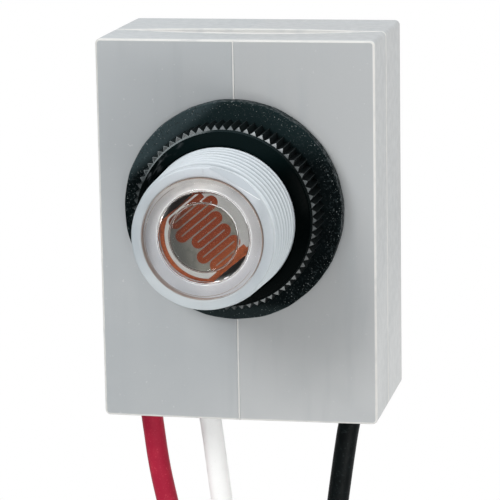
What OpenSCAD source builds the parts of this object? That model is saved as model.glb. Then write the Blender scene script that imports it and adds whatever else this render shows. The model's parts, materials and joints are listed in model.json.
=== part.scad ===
// Photocell switch: a light-sensitive lamp control in a two-piece moulded housing.
// A threaded nipple stands out of the front, with the sensor cell behind its clear lens,
// and holds the switch in a knockout hole with a gasket and a knurled lock nut.
// The origin is on the nipple's axis at the front of the housing, +Z is up and the front faces -Y.

/* [Housing] */
// Width of the housing, left to right
body_w = 40; // [38:0.5:52]
// Height of the housing
body_h = 55; // [54:0.5:70]
// Depth of the housing, front to back
body_d = 24.8; // [22.4:0.2:34]
// Thickness of the moulded walls
wall = 2; // [1.7:0.1:2.4]
// Depth of the front shell, from the front to the seam
front_depth = 10.7; // [10:0.1:12]
// Height of the nipple's axis above the middle of the housing
axis_rise = 3.6; // [2:0.1:5]
// Radius of the four long corners
corner_r = 0.7; // [0.6:0.1:2]
// Rounding of the front edges
front_r = 0.3; // [0.2:0.1:0.6]
// Rounding of the rear edges
rear_r = 0.6; // [0.3:0.1:0.6]
// How far the front falls away from its centre line to each side
front_draft = 0.35; // [0.05:0.05:0.6]

/* [Seam] */
// Gap between the two shells
seam_gap = 0.1; // [0.05:0.05:0.2]
// Small rounding of both shells along the seam
seam_r = 0.25; // [0.1:0.05:0.4]
// Thickness of the rear cover's lip, which sits inside the front shell
lip_t = 0.9; // [0.7:0.1:1.1]
// Length of the lip
lip_len = 1.6; // [1:0.1:2.4]
// Clearance around the lip
lip_clear = 0.15; // [0.05:0.05:0.2]
// Sink of the front shell's top wall at the seam
top_dip = 0.5; // [0.2:0.05:0.5]
// Rise of the rear cover's top edge at the seam
top_bow = 0.25; // [0.05:0.05:0.5]
// Width of the raised mould line down the front
mould_line_w = 0.3; // [0.2:0.05:0.6]
// Height of the raised mould line
mould_line_h = 0.1; // [0.05:0.01:0.12]

/* [Nipple] */
// Length of the nipple in front of the housing
nipple_len = 22; // [20:0.2:26]
// Crest radius of the half-inch straight pipe thread
thread_r = 10.4; // [10.1:0.05:10.45]
// Pitch of the thread
thread_pitch = 1.814; // [1.5:0.002:2]
// Depth of the thread
thread_depth = 1; // [0.6:0.05:1]
// Width of the thread's crest
crest_w = 0.3; // [0.2:0.05:0.4]
// Distance of the thread's first ridge from the housing's front
thread_start = 0.3; // [0.2:0.05:0.5]
// Radius of the plain rim at the tip
rim_r = 9.8; // [9.5:0.05:10.1]
// Length of the plain rim
rim_len = 1.5; // [1:0.1:2]
// Chamfer at the rim's front edge
rim_chamfer = 0.3; // [0.1:0.05:0.5]
// Radius of the nipple's bore
bore_r = 7.4; // [7:0.1:7.6]
// Radius of the inner flange
flange_r = 13; // [12.4:0.1:15]
// Thickness of the inner flange
flange_t = 2; // [1.5:0.1:2.5]
// Half width across the flange's two flats
flange_flat = 11.6; // [11:0.1:12]
// Clearance between the nipple and what slides on it
thread_clear = 0.2; // [0.15:0.05:0.4]
// Clearance between the flange's flats and the ribs that stop it from turning
key_clear = 0.1; // [0.05:0.05:0.3]

/* [Lens] */
// Radius of the clear lens
lens_r = 8.3; // [8:0.05:8.5]
// Depth of the lens seat in the nipple
lens_seat = 1.8; // [1.2:0.1:2.4]
// How far the lens stands proud of the nipple's rim
lens_proud = 0.4; // [0.1:0.1:0.8]
// Radius of the clear window inside the first ring in the lens's back
window_r = 4.6; // [4.2:0.1:5]
// Radius inside the second ring
ring_r = 6.2; // [5.8:0.1:6.6]
// Width of each ring
ring_w = 0.4; // [0.3:0.05:0.5]
// Depth of each ring
ring_depth = 0.5; // [0.3:0.05:0.8]
// Clearance around the lens in its seat
lens_clear = 0.05; // [0.02:0.01:0.1]

/* [Gasket and lock nut] */
// Outer radius of the gasket
gasket_r = 15.7; // [14.5:0.1:17]
// Thickness of the gasket
gasket_t = 2.2; // [1.5:0.1:3]
// Gap between the gasket and the front's ridge, which clears the mould line
seat_gap = 0.15; // [0.13:0.01:0.3]
// Gap between the gasket and the nut
nut_gap = 0.05; // [0.02:0.01:0.2]
// Radius over the knurl's tips
knurl_r = 13.15; // [13:0.05:14.5]
// Depth of the knurl
knurl_depth = 0.75; // [0.4:0.05:0.8]
// Number of ribs in the knurl
knurl_count = 72; // [48:4:96]
// Length of the knurl along the nut
knurl_len = 5.4; // [4:0.1:7]
// Step between the knurl's front end and the foot of the hub
hub_step = 0.6; // [0.3:0.1:1]
// Radius at the foot of the nut's tapered hub
hub_r = 12.1; // [11.6:0.05:12.15]
// Length of the tapered hub
hub_len = 1.8; // [1:0.1:3]
// Width of the hub's front edge
hub_edge = 0.3; // [0.2:0.05:0.6]

/* [Sensor cell] */
// Radius of the cell's ceramic disc
cell_r = 6.2; // [5.8:0.1:6.4]
// Half width across the disc's two flats
cell_flat = 5.4; // [5.2:0.05:5.6]
// Thickness of the disc
cell_t = 1.2; // [0.8:0.1:2]
// Thickness of the films on the disc
film_t = 0.15; // [0.1:0.05:0.25]
// Width of the bare film around the metal
film_rim = 0.6; // [0.4:0.05:0.7]
// Clearance around the disc in its pocket
cell_clear = 0.3; // [0.1:0.05:0.4]
// Depth of the pocket behind the lens seat
pocket_depth = 3.2; // [2.4:0.1:4]
// Gap between the cell and the back of the lens
cell_gap = 0.6; // [0.3:0.1:1.5]
// Turn of the cell about the nipple's axis
cell_turn = 40; // [0:1:180]
// Number of legs of the serpentine track, an even number
track_legs = 10; // [4:2:10]
// Distance between two legs
track_pitch = 1; // [0.9:0.02:1]
// Width of the track
track_w = 0.84; // [0.6:0.02:0.86]
// Length of a leg between its turns
track_len = 4.4; // [3.6:0.1:5]
// Distance of each lead from the middle of the cell
cell_lead_out = 4; // [3:0.1:5]
// Radius of the cell's leads
cell_lead_r = 0.3; // [0.2:0.05:0.4]

/* [Circuit board] */
// Thickness of the board
board_t = 1.6; // [1:0.1:2]
// Distance of the board's front behind the seam
board_set = 4.3; // [4:0.1:5]
// Gap between the board and the walls
board_gap = 1.5; // [0.5:0.1:2]
// Distance of the screws in from the board's sides
screw_in = 2.5; // [2.4:0.1:3]
// Distance of the upper screws below the board's top edge
upper_screw_drop = 4.4; // [4:0.1:5]
// Distance of the lower screws above the board's bottom edge
lower_screw_rise = 8; // [7:0.1:9]
// Radius of the screws' shanks
screw_r = 1.1; // [0.8:0.1:1.3]
// Radius of the screws' heads
screw_head_r = 2; // [1.8:0.1:2.2]
// Height of the screws' heads
screw_head_h = 1.4; // [1:0.1:2]
// Length of the screws below the board
screw_len = 4; // [3:0.1:4.4]
// Radius of the cover's posts for the screws
post_r = 2.4; // [2.2:0.1:2.4]
// Clearance around a wire, screw or rivet in its hole
hole_clear = 0.05; // [0.02:0.01:0.1]
// Radius of a solder joint
solder_r = 1.1; // [0.9:0.1:1.3]
// Height of a solder joint
solder_h = 0.8; // [0.5:0.1:1.2]

/* [Switch mechanism] */
// Distance of the switch to the right of the nipple's axis
switch_x = 8; // [7.5:0.1:8.5]
// Distance of the arm's pivot below the board's top edge
pivot_drop = 4; // [3:0.1:5]
// Distance from the pivot down to the contacts
arm_reach = 27.5; // [27:0.1:28]
// Width of the bimetal arm
arm_w = 4.5; // [3.6:0.1:5]
// Thickness of the arm
arm_t = 0.5; // [0.4:0.05:0.6]
// Height of the arm's back above the board
arm_stand = 5; // [5:0.1:5.4]
// Length of the arm past the contacts, and past its pivot
arm_end = 2.4; // [2:0.1:2.6]
// Thickness of the anchor's lug along the arm
lug_t = 2; // [1.6:0.1:2.2]
// Height of the lug above the arm
lug_over = 1.5; // [1:0.1:2]
// Clearance around the arm in the lug's slot
slot_clear = 0.1; // [0.08:0.01:0.15]
// Thickness of the brass brackets
strip_t = 0.8; // [0.6:0.05:0.85]
// Width of the brass brackets
strip_w = 5.4; // [5:0.1:6]
// Length of the brackets' feet
foot_len = 4.5; // [4:0.1:4.8]
// Length of the contact bracket's raised shelf
shelf_len = 9.6; // [9:0.1:10]
// Length of the shelf past the fixed contact
shelf_end = 2; // [1.7:0.1:2.2]
// Radius of the contacts
contact_r = 1.6; // [1.2:0.1:1.8]
// Height of a contact's face above its carrier
contact_h = 1; // [0.9:0.05:1.1]
// Radius of a contact's shank
contact_shank_r = 0.8; // [0.6:0.05:0.9]
// Gap between the closed contacts
contact_gap = 0.05; // [0.02:0.01:0.1]
// Radius of the heater
heater_r = 1.8; // [1.4:0.1:1.9]
// Length of the heater
heater_len = 13; // [10:0.2:13]
// Height of the heater's axis above the board
heater_stand = 2.5; // [2.3:0.1:2.7]
// Distance from the heater's end to where its lead turns down
heater_lead_out = 1.6; // [1:0.1:1.7]
// Radius of the heater's leads
heater_lead_r = 0.35; // [0.25:0.05:0.4]
// Distance of the adjusting screw from the fixed contact
adjust_out = 4; // [3.8:0.1:4.4]
// Radius of the adjusting screw
adjust_r = 0.9; // [0.6:0.05:1]
// Radius of the adjusting screw's head
adjust_head_r = 1.6; // [1.3:0.1:1.8]
// Height of the adjusting screw's head
adjust_head_h = 1; // [0.6:0.1:1.2]
// Width of the adjusting screw's slot
adjust_slot_w = 0.5; // [0.3:0.05:0.6]
// Radius of a rivet's shank
rivet_r = 0.8; // [0.6:0.05:1]
// Radius of a rivet's head
rivet_head_r = 1.4; // [1.2:0.1:1.6]
// Height of a rivet's head
rivet_head_h = 0.6; // [0.4:0.1:0.8]

/* [Leads] */
// Radius of a lead over its insulation
lead_r = 1.6; // [1.3:0.05:1.7]
// Radius of a lead's copper strands
core_r = 0.7; // [0.5:0.05:0.8]
// Length of bare copper at a lead's free end
bare_len = 10; // [6:0.5:13]
// Clearance around a lead in the housing
lead_clear = 0.1; // [0.05:0.05:0.3]
// Distance of the red lead in from the left side
red_in = 4.2; // [4:0.1:4.6]
// Distance of the white lead in from the left side
white_in = 13; // [11:0.1:15]
// Distance of the black lead in from the right side
black_in = 5.4; // [5:0.1:6]
// Height of a lead's bare inner end, where it turns back to the board
tail_rise = 2; // [1.5:0.1:2.4]

/* [Hidden] */
$fn = 64;
// Sides of a rounded post inside a hull
hull_fn = 32;
// Step between the points of a rounded edge, in degrees
arc_step = 15;
// Overlap by which a cut runs past a face
cut = 1;

// Heights above the nipple's axis
top = body_h / 2 - axis_rise;
bottom = -body_h / 2 - axis_rise;

// Places along the nipple's axis, forward of the front face
lens_back = nipple_len - lens_seat;
lens_face = nipple_len + lens_proud;
nut_back = seat_gap + gasket_t + nut_gap;
cell_face = lens_back - cell_gap;
board_front = -(front_depth + board_set);
board_back = board_front - board_t;

// Thread: the ridges fill the length between the housing's front and the rim
root_r = thread_r - thread_depth;
flank_w = thread_depth * tan(30);
thread_count = floor((nipple_len - rim_len - thread_start) / thread_pitch);

// Board outline and the places on it
board_side = body_w / 2 - wall - board_gap;
board_top = top - wall - board_gap;
board_bottom = bottom + wall + board_gap;
screw_x = board_side - screw_in;
screw_rows = [board_top - upper_screw_drop, board_bottom + lower_screw_rise];
pivot_z = board_top - pivot_drop;
contact_z = pivot_z - arm_reach;
fixed_face = arm_stand - contact_h - contact_gap;
shelf_top = fixed_face - contact_h;
shelf_up = contact_z + shelf_end;
shelf_down = shelf_up - shelf_len;
adjust_z = contact_z - adjust_out;
anchor_foot_z = pivot_z - lug_t / 2 - foot_len;
heater_z = (anchor_foot_z + shelf_up) / 2;
heater_lead_z = [for (s = [-1, 1]) heater_z + s * (heater_len / 2 + heater_lead_out)];
anchor_rivet_z = anchor_foot_z + foot_len / 2;
contact_rivet_z = shelf_down - foot_len / 2;
cell_lead_xz = [for (s = [-1, 1]) s * cell_lead_out * [cos(cell_turn), sin(cell_turn)]];

// Leads: their routes hang from the notches at the seam. Each point has a height from the housing's
// bottom, and for each lead a drift to the right of the notch that it leaves
lead_y = front_depth;
lead_rise = [5, 0, -5, -11, -17, -24, -31, -39, -48, -57,
    -66, -75, -84, -93, -102, -111, -119, -127, -134, -140];
red_drift = [0, 0, 0.5, 1.3, 2.5, 3.8, 4.8, 5.6, 6.1, 6.4,
    6.6, 6.7, 6.8, 6.8, 6.8, 6.8, 6.8, 6.8, 6.8, 6.8];
white_drift = [0, 0, 0.6, 1.3, 2, 2.7, 3.2, 3.6, 3.9, 4,
    4, 4, 4, 4, 4, 4, 4, 4, 4, 4];
black_drift = [0, 0, -0.8, -1.7, -2.5, -3.2, -3.7, -4.1, -4.4, -4.6,
    -4.7, -4.8, -4.8, -4.8, -4.8, -4.8, -4.8, -4.8, -4.8, -4.8];
red_exit = red_in - body_w / 2;
white_exit = white_in - body_w / 2;
black_exit = body_w / 2 - black_in;
lead_exits = [red_exit, white_exit, black_exit];
lead_top = bottom + lead_rise[0];
tail_z = lead_top + tail_rise;
cord_sides = 8;

// Colours
grey = "#b3b8bb";
milky = "#d8dee2";
rubber_black = "#171c1e";
gloss_black = "#0b0f10";
clear = [0.86, 0.9, 0.92, 0.45];
brass = "#c9a653";
steel = "#b9bcc0";
copper = "#b8734a";

// Turns a shape drawn as seen from the front, with +Z towards the viewer, into the part's frame
module facing() {
    rotate([90, 0, 0]) children();
}

// Places a piece on the front of the circuit board
module on_board(x, z) {
    translate([x, z, board_front]) children();
}

function quarter(x, z, r, start) = [for (a = [start:arc_step:start + 90]) [x + r * cos(a), z + r * sin(a)]];

// A round corner post along the depth, with its front and back edges rounded
module corner_post(front, back, round_front, round_back) {
    rotate_extrude($fn = hull_fn)
        polygon(concat(
            [[0, back]],
            quarter(corner_r - round_back, back + round_back, round_back, -90),
            quarter(corner_r - round_front, front - round_front, round_front, 0),
            [[0, front]]
        ));
}

// The places of the housing's corner posts
module at_corners() {
    for (x = [-1, 1] * (body_w / 2 - corner_r))
        for (z = [top - corner_r, bottom + corner_r])
            translate([x, z, 0]) children();
}

// A block inside the housing's outline, set in from its faces
module inset_block(inset, front, back) {
    translate([-body_w / 2 + inset, bottom + inset, back])
        cube([body_w - 2 * inset, body_h - 2 * inset, front - back]);
}

// The holes at the seam that the three leads pass through
module lead_holes() {
    for (x = lead_exits)
        translate([x, bottom - cut, -front_depth])
            rotate([-90, 0, 0]) cylinder(r = lead_r + lead_clear, h = wall + 2 * cut);
}

// The shallow sink in the front shell's top wall, deepest at the seam
module top_sink() {
    half = body_w / 2 - 2 * corner_r;
    clear_of_top = 0.02;
    hull() {
        translate([0, top + clear_of_top, -front_depth - cut])
            linear_extrude(cut)
                polygon([for (s = [-1:0.2:1]) [s * half, (top_dip + clear_of_top) * (s * s - 1)]]);
        translate([-half, top + clear_of_top, -2 * front_r])
            cube([2 * half, cut, front_r]);
    }
}

// A thin upright bar down the middle of the front
module centre_bar(back, front) {
    translate([-mould_line_w / 2, bottom + front_r, back])
        cube([mould_line_w, body_h - 2 * front_r, front - back]);
}

module front_shell() {
    color(grey) facing() {
        difference() {
            union() {
                hull() {
                    at_corners() corner_post(-front_draft, -front_depth, front_r, seam_r);
                    centre_bar(-front_draft, 0);
                }
                centre_bar(-front_draft, mould_line_h);
            }
            inset_block(wall, -wall, -front_depth - cut);
            inset_block(wall - lip_t - lip_clear, lip_len + lip_clear - front_depth, -front_depth - cut);
            translate([0, 0, -wall - cut]) cylinder(r = thread_r + thread_clear, h = wall + 2 * cut);
            lead_holes();
            top_sink();
        }
        flange_ribs();
    }
}

// Ribs beside the nipple's flange that stop it from turning
module flange_ribs() {
    rib_t = 1.5;
    rib_len = 14;
    for (s = [0, 1])
        mirror([s, 0, 0])
            translate([flange_flat + key_clear, -rib_len / 2, -wall - flange_t])
                cube([rib_t, rib_len, flange_t + wall / 2]);
}

// The slightly bowed top edge of the rear cover, as a row of thin rods along the seam
module bowed_edge() {
    rod_r = 0.5;
    half = body_w / 2 - 2 * corner_r;
    for (s = [-0.9:0.3:0.9])
        translate([s * half, top - rod_r + top_bow * (1 - s * s), -front_depth - seam_gap - seam_r])
            sphere(r = rod_r, $fn = hull_fn);
}

module rear_cover() {
    color(grey) facing() {
        difference() {
            union() {
                difference() {
                    hull() {
                        at_corners() corner_post(-front_depth - seam_gap, -body_d, seam_r, rear_r);
                        intersection() {
                            bowed_edge();
                            inset_block(-cut, -front_depth - seam_gap, -body_d);
                        }
                    }
                    inset_block(wall, -front_depth + cut, -body_d + wall);
                }
                difference() {
                    inset_block(wall - lip_t, lip_len - front_depth, -front_depth - seam_gap - seam_r);
                    inset_block(wall, lip_len - front_depth + cut, -front_depth - cut);
                }
            }
            lead_holes();
        }
        cover_posts();
    }
}

// The rear cover's four posts, with pilot holes for the board's screws
module cover_posts() {
    for (x = [-screw_x, screw_x])
        for (z = screw_rows)
            translate([x, z, -body_d + wall / 2])
                difference() {
                    cylinder(r = post_r, h = board_back + body_d - wall / 2);
                    translate([0, 0, board_back + body_d - wall / 2 - screw_len - hole_clear])
                        cylinder(r = screw_r + hole_clear, h = screw_len + cut);
                }
}

function ridge(i) = let (z = thread_start + i * thread_pitch) [
    [root_r, z],
    [thread_r, z + flank_w],
    [thread_r, z + flank_w + crest_w],
    [root_r, z + 2 * flank_w + crest_w]
];

module threaded_nipple() {
    pocket_r = cell_r + cell_clear;
    profile = concat(
        [[bore_r, -wall - flange_t], [flange_r, -wall - flange_t], [flange_r, -wall]],
        [[thread_r, -wall], [thread_r, thread_start - flank_w / 2]],
        [for (i = [0:thread_count - 1]) each ridge(i)],
        [[root_r, nipple_len - rim_len], [rim_r, nipple_len - rim_len + rim_r - root_r]],
        [[rim_r, nipple_len - rim_chamfer], [rim_r - rim_chamfer, nipple_len]],
        [[lens_r + lens_clear, nipple_len], [lens_r + lens_clear, lens_back], [pocket_r, lens_back]],
        [[pocket_r, lens_back - pocket_depth], [bore_r, lens_back - pocket_depth]]
    );
    color(milky) facing()
        difference() {
            rotate_extrude() polygon(profile);
            for (s = [0, 1])
                mirror([s, 0, 0])
                    translate([flange_flat, -flange_r, -wall - flange_t - cut])
                        cube([flange_r, 2 * flange_r, flange_t + cut]);
        }
}

// One ring in the back of the lens, as a groove with sloping sides
function lens_ring(r) = [
    [r, lens_back], [r + ring_w / 2, lens_back + ring_depth], [r + ring_w, lens_back]
];

module lens() {
    edge = 0.2;
    color(clear) facing()
        rotate_extrude()
            polygon(concat(
                [[0, lens_back]], lens_ring(window_r), lens_ring(ring_r), [[lens_r, lens_back]],
                [[lens_r, lens_face - edge], [lens_r - edge, lens_face], [0, lens_face]]
            ));
}

module gasket() {
    edge = 0.2;
    hole_r = thread_r + thread_clear;
    color(rubber_black) facing()
        translate([0, 0, seat_gap])
            rotate_extrude()
                polygon([
                    [hole_r, 0], [gasket_r, 0], [gasket_r, gasket_t - edge],
                    [gasket_r - edge, gasket_t], [hole_r, gasket_t]
                ]);
}

module lock_nut() {
    hole_r = thread_r + thread_clear;
    valley_r = knurl_r - knurl_depth;
    ring_r = (hole_r + hub_r) / 2;
    shoulder_r = (hub_r + valley_r) / 2;
    hub_foot = knurl_len + hub_step;
    step = 360 / knurl_count;
    star = [for (i = [0:2 * knurl_count - 1])
        (i % 2 == 0 ? knurl_r : valley_r) * [cos(i * step / 2), sin(i * step / 2)]];
    color(gloss_black) facing()
        translate([0, 0, nut_back]) {
            rotate_extrude()
                polygon([
                    [hole_r, 0], [shoulder_r, 0], [shoulder_r, knurl_len], [hub_r, hub_foot],
                    [hole_r + hub_edge, hub_foot + hub_len], [hole_r, hub_foot + hub_len]
                ]);
            difference() {
                linear_extrude(knurl_len) polygon(star);
                translate([0, 0, -cut]) cylinder(r = ring_r, h = knurl_len + 2 * cut);
            }
        }
}

// Outline of the sensor cell, set in by a margin: a disc with two flats along the track's legs
module cell_outline(margin = 0) {
    intersection() {
        circle(r = cell_r - margin);
        square([2 * cell_r, 2 * (cell_flat - margin)], center = true);
    }
}

// One turn of the track, around the end of a finger, opening towards +X
module track_turn() {
    difference() {
        circle(r = (track_pitch + track_w) / 2, $fn = 32);
        circle(r = (track_pitch - track_w) / 2, $fn = 32);
        translate([0, -track_pitch]) square([track_pitch, 2 * track_pitch]);
    }
}

// The serpentine track, with its two end legs running out to the disc's edge
module track_outline() {
    leg_y = [for (i = [0:track_legs - 1]) (i - (track_legs - 1) / 2) * track_pitch];
    intersection() {
        union() {
            for (i = [0:track_legs - 1])
                translate([-track_len / 2, leg_y[i] - track_w / 2])
                    square([i == 0 || i == track_legs - 1 ? cell_r + track_len : track_len, track_w]);
            for (i = [0:track_legs - 2])
                translate([(i % 2 == 0 ? -1 : 1) * track_len / 2, leg_y[i] + track_pitch / 2])
                    mirror([i % 2, 0]) track_turn();
        }
        cell_outline();
    }
}

// The dark film that shows: the track and a rim around the metal
module film_outline() {
    track_outline();
    difference() {
        cell_outline();
        cell_outline(film_rim);
    }
}

// Places the cell's own drawing behind the lens
module in_cell(forward) {
    facing() translate([0, 0, forward]) rotate(cell_turn) children();
}

module cell_disc() {
    color("#e4e2da") in_cell(cell_face - film_t - cell_t) linear_extrude(cell_t) cell_outline();
}

module cell_track() {
    color("#8c4023") in_cell(cell_face - film_t) linear_extrude(film_t) film_outline();
}

module cell_electrodes() {
    color("#95958f") in_cell(cell_face - film_t)
        linear_extrude(film_t)
            difference() {
                cell_outline();
                film_outline();
            }
}

module cell_leads() {
    color(steel) facing()
        for (p = cell_lead_xz)
            translate([p[0], p[1], board_back])
                cylinder(r = cell_lead_r, h = cell_face - film_t - cell_t - board_back);
}

// Places every soldered wire: its place on the board and its radius
function soldered() = concat(
    [for (p = cell_lead_xz) [p, cell_lead_r]],
    [for (z = heater_lead_z) [[switch_x, z], heater_lead_r]],
    [for (x = lead_exits) [[x, tail_z], core_r]]
);

module circuit_board() {
    color("#6d4a2a") facing()
        difference() {
            translate([-board_side, board_bottom, board_back])
                cube([2 * board_side, board_top - board_bottom, board_t]);
            for (s = soldered())
                translate([s[0][0], s[0][1], board_back - cut])
                    cylinder(r = s[1] + hole_clear, h = board_t + 2 * cut);
            for (x = [-screw_x, screw_x])
                for (z = screw_rows)
                    translate([x, z, board_back - cut])
                        cylinder(r = screw_r + hole_clear, h = board_t + 2 * cut);
            for (z = [anchor_rivet_z, contact_rivet_z])
                translate([switch_x, z, board_back - cut])
                    cylinder(r = rivet_r + hole_clear, h = board_t + 2 * cut);
        }
}

module board_screws() {
    crown_r = 0.6 * screw_head_r;
    color(steel) facing()
        for (x = [-screw_x, screw_x])
            for (z = screw_rows)
                on_board(x, z) {
                    rotate_extrude()
                        polygon(concat(
                            [[0, 0], [screw_head_r, 0], [screw_head_r, screw_head_h / 2]],
                            [[crown_r, screw_head_h], [0, screw_head_h]]
                        ));
                    translate([0, 0, -board_t - screw_len])
                        cylinder(r = screw_r, h = board_t + screw_len);
                }
}

module solder_joints() {
    color("#c8cacc") facing()
        for (s = soldered())
            translate([s[0][0], s[0][1], board_back - solder_h])
                cylinder(r1 = solder_r / 2, r2 = solder_r, h = solder_h);
}

// Brass anchor: a foot on the board and a slotted lug that grips the arm's upper end
module anchor_bracket() {
    lug_h = arm_stand + arm_t + lug_over;
    color(brass) facing()
        on_board(switch_x, pivot_z)
            difference() {
                translate([-strip_w / 2, 0, 0]) {
                    translate([0, -lug_t / 2, 0]) cube([strip_w, lug_t, lug_h]);
                    translate([0, -lug_t / 2 - foot_len, 0]) cube([strip_w, foot_len + lug_t / 2, strip_t]);
                }
                translate([-arm_w / 2 - slot_clear, -lug_t / 2 - cut, arm_stand - slot_clear])
                    cube([arm_w + 2 * slot_clear, lug_t + 2 * cut, arm_t + 2 * slot_clear]);
                translate([0, -lug_t / 2 - foot_len / 2, -cut])
                    cylinder(r = rivet_r + hole_clear, h = strip_t + 2 * cut);
            }
}

module bimetal_arm() {
    color("#9a8f7c") facing()
        on_board(switch_x, pivot_z)
            difference() {
                translate([-arm_w / 2, -arm_reach, arm_stand]) {
                    cube([arm_w, arm_reach + arm_end, arm_t]);
                    translate([arm_w / 2, 0, 0]) cylinder(r = arm_w / 2, h = arm_t);
                }
                translate([0, -arm_reach, arm_stand - cut])
                    cylinder(r = contact_shank_r + hole_clear, h = arm_t + 2 * cut);
            }
}

// A contact rivet along +Z: its face at the bottom, its shank through a carrier, its tail on top
module contact_rivet(carrier_t) {
    tail_h = 0.3;
    cylinder(r = contact_r, h = contact_h);
    translate([0, 0, contact_h]) cylinder(r = contact_shank_r, h = carrier_t);
    translate([0, 0, contact_h + carrier_t]) cylinder(r = (contact_r + contact_shank_r) / 2, h = tail_h);
}

module moving_contact() {
    color("#cfcfd2") facing()
        on_board(switch_x, contact_z)
            translate([0, 0, arm_stand - contact_h]) contact_rivet(arm_t);
}

module fixed_contact() {
    color("#cfcfd2") facing()
        on_board(switch_x, contact_z)
            translate([0, 0, fixed_face]) rotate([180, 0, 0]) contact_rivet(strip_t);
}

// Brass contact bracket: a foot on the board, a riser and a shelf under the arm's lower end
module contact_bracket() {
    color(brass) facing()
        on_board(switch_x, 0)
            difference() {
                translate([-strip_w / 2, 0, 0]) {
                    translate([0, shelf_down, shelf_top - strip_t]) cube([strip_w, shelf_len, strip_t]);
                    translate([0, shelf_down, 0]) cube([strip_w, strip_t, shelf_top]);
                    translate([0, shelf_down - foot_len, 0]) cube([strip_w, foot_len + strip_t, strip_t]);
                }
                translate([0, contact_z, 0])
                    cylinder(r = contact_shank_r + hole_clear, h = arm_stand);
                translate([0, adjust_z, 0]) cylinder(r = adjust_r + hole_clear, h = arm_stand);
                translate([0, contact_rivet_z, -cut])
                    cylinder(r = rivet_r + hole_clear, h = strip_t + 2 * cut);
            }
}

module adjusting_screw() {
    color(brass) facing()
        on_board(switch_x, adjust_z)
            difference() {
                union() {
                    cylinder(r = adjust_r, h = shelf_top);
                    translate([0, 0, shelf_top]) cylinder(r = adjust_head_r, h = adjust_head_h);
                }
                translate([-adjust_head_r - cut, -adjust_slot_w / 2, shelf_top + adjust_head_h / 2])
                    cube([2 * adjust_head_r + 2 * cut, adjust_slot_w, adjust_head_h]);
            }
}

module board_rivets() {
    color(steel) facing()
        for (z = [anchor_rivet_z, contact_rivet_z])
            on_board(switch_x, z) {
                translate([0, 0, strip_t]) cylinder(r = rivet_head_r, h = rivet_head_h);
                translate([0, 0, -board_t]) cylinder(r = rivet_r, h = board_t + strip_t);
                translate([0, 0, -board_t - rivet_head_h]) cylinder(r = rivet_head_r, h = rivet_head_h);
            }
}

module heater_body() {
    cap_len = 1.5;
    waist_r = heater_r - 0.2;
    half = heater_len / 2;
    color("#d9cfb8") facing()
        on_board(switch_x, heater_z)
            translate([0, 0, heater_stand])
                rotate([-90, 0, 0])
                    rotate_extrude()
                        polygon([
                            [0, -half], [heater_r, -half], [heater_r, cap_len - half],
                            [waist_r, cap_len - half], [waist_r, half - cap_len],
                            [heater_r, half - cap_len], [heater_r, half], [0, half]
                        ]);
}

// A wire that runs along Z from the given start, bends at the given place and goes down through the board
module bent_wire(r, x, start, turn, height) {
    bend = 2 * r;
    way = sign(start - turn);
    on_board(x, turn) {
        translate([0, 0, -board_t]) cylinder(r = r, h = board_t + height - bend);
        translate([0, way * bend, height - bend])
            rotate([90, 0, -90 * way])
                rotate_extrude(angle = 90) translate([bend, 0]) circle(r = r);
        translate([0, way * bend, height])
            rotate([-90 * way, 0, 0]) cylinder(r = r, h = abs(start - turn) - bend);
    }
}

module heater_leads() {
    color(steel) facing()
        for (i = [0, 1])
            bent_wire(
                heater_lead_r, switch_x, heater_z + (2 * i - 1) * heater_len / 2,
                heater_lead_z[i], heater_stand
            );
}

module lead_tails() {
    color(copper) facing()
        for (x = lead_exits) bent_wire(core_r, x, lead_top, tail_z, -front_depth - board_front);
}

// A tube swept along a lead's route, with the ring at each point square to the route
function route(exit, drift) =
    [for (i = [0:len(drift) - 1]) [exit + drift[i], lead_y, bottom + lead_rise[i]]];
function unit(v) = v / norm(v);
function heading(p, i) = unit(p[min(i + 1, len(p) - 1)] - p[max(i - 1, 0)]);
function ring(p, i) = let (t = heading(p, i), u = unit(cross(t, [0, 1, 0])), v = cross(u, t))
    [for (k = [0:cord_sides - 1]) let (a = 360 * k / cord_sides) p[i] + lead_r * (cos(a) * u + sin(a) * v)];

module cord(p) {
    n = cord_sides;
    last = (len(p) - 1) * n;
    polyhedron(
        points = [for (i = [0:len(p) - 1]) each ring(p, i)],
        faces = concat(
            [[for (k = [0:n - 1]) k]],
            [for (i = [0:len(p) - 2]) for (k = [0:n - 1])
                [i * n + k, (i + 1) * n + k, (i + 1) * n + (k + 1) % n, i * n + (k + 1) % n]],
            [[for (k = [n - 1:-1:0]) last + k]]
        )
    );
}

// The stripped copper end of a lead
module bare_tip(p) {
    color(copper)
        translate(p[len(p) - 1] - [0, 0, bare_len]) cylinder(r = core_r, h = bare_len);
}

module red_lead() {
    color("#b12f49") cord(route(red_exit, red_drift));
}

module white_lead() {
    color("#f4f4f2") cord(route(white_exit, white_drift));
}

module black_lead() {
    color("#15191a") cord(route(black_exit, black_drift));
}

module red_lead_tip() {
    bare_tip(route(red_exit, red_drift));
}

module white_lead_tip() {
    bare_tip(route(white_exit, white_drift));
}

module black_lead_tip() {
    bare_tip(route(black_exit, black_drift));
}

front_shell();
rear_cover();
threaded_nipple();
lens();
gasket();
lock_nut();
cell_disc();
cell_track();
cell_electrodes();
cell_leads();
circuit_board();
board_screws();
solder_joints();
anchor_bracket();
bimetal_arm();
moving_contact();
contact_bracket();
fixed_contact();
adjusting_screw();
board_rivets();
heater_body();
heater_leads();
lead_tails();
red_lead();
white_lead();
black_lead();
red_lead_tip();
white_lead_tip();
black_lead_tip();
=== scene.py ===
# %% [markdown]
# # A photocell switch
# This control turns a lamp on at dusk. A grey moulded box holds the works, a threaded nipple
# carries a light sensor behind a clear lens, and a gasket and a knurled nut clamp it in a panel.
# The solids are loaded first and stay fixed. Every piece below is dressed onto them in the same
# frame, in metres: +Z is up, +X is to the right, and the front faces -Y.

# %% Load the solids
import json
import math

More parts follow.
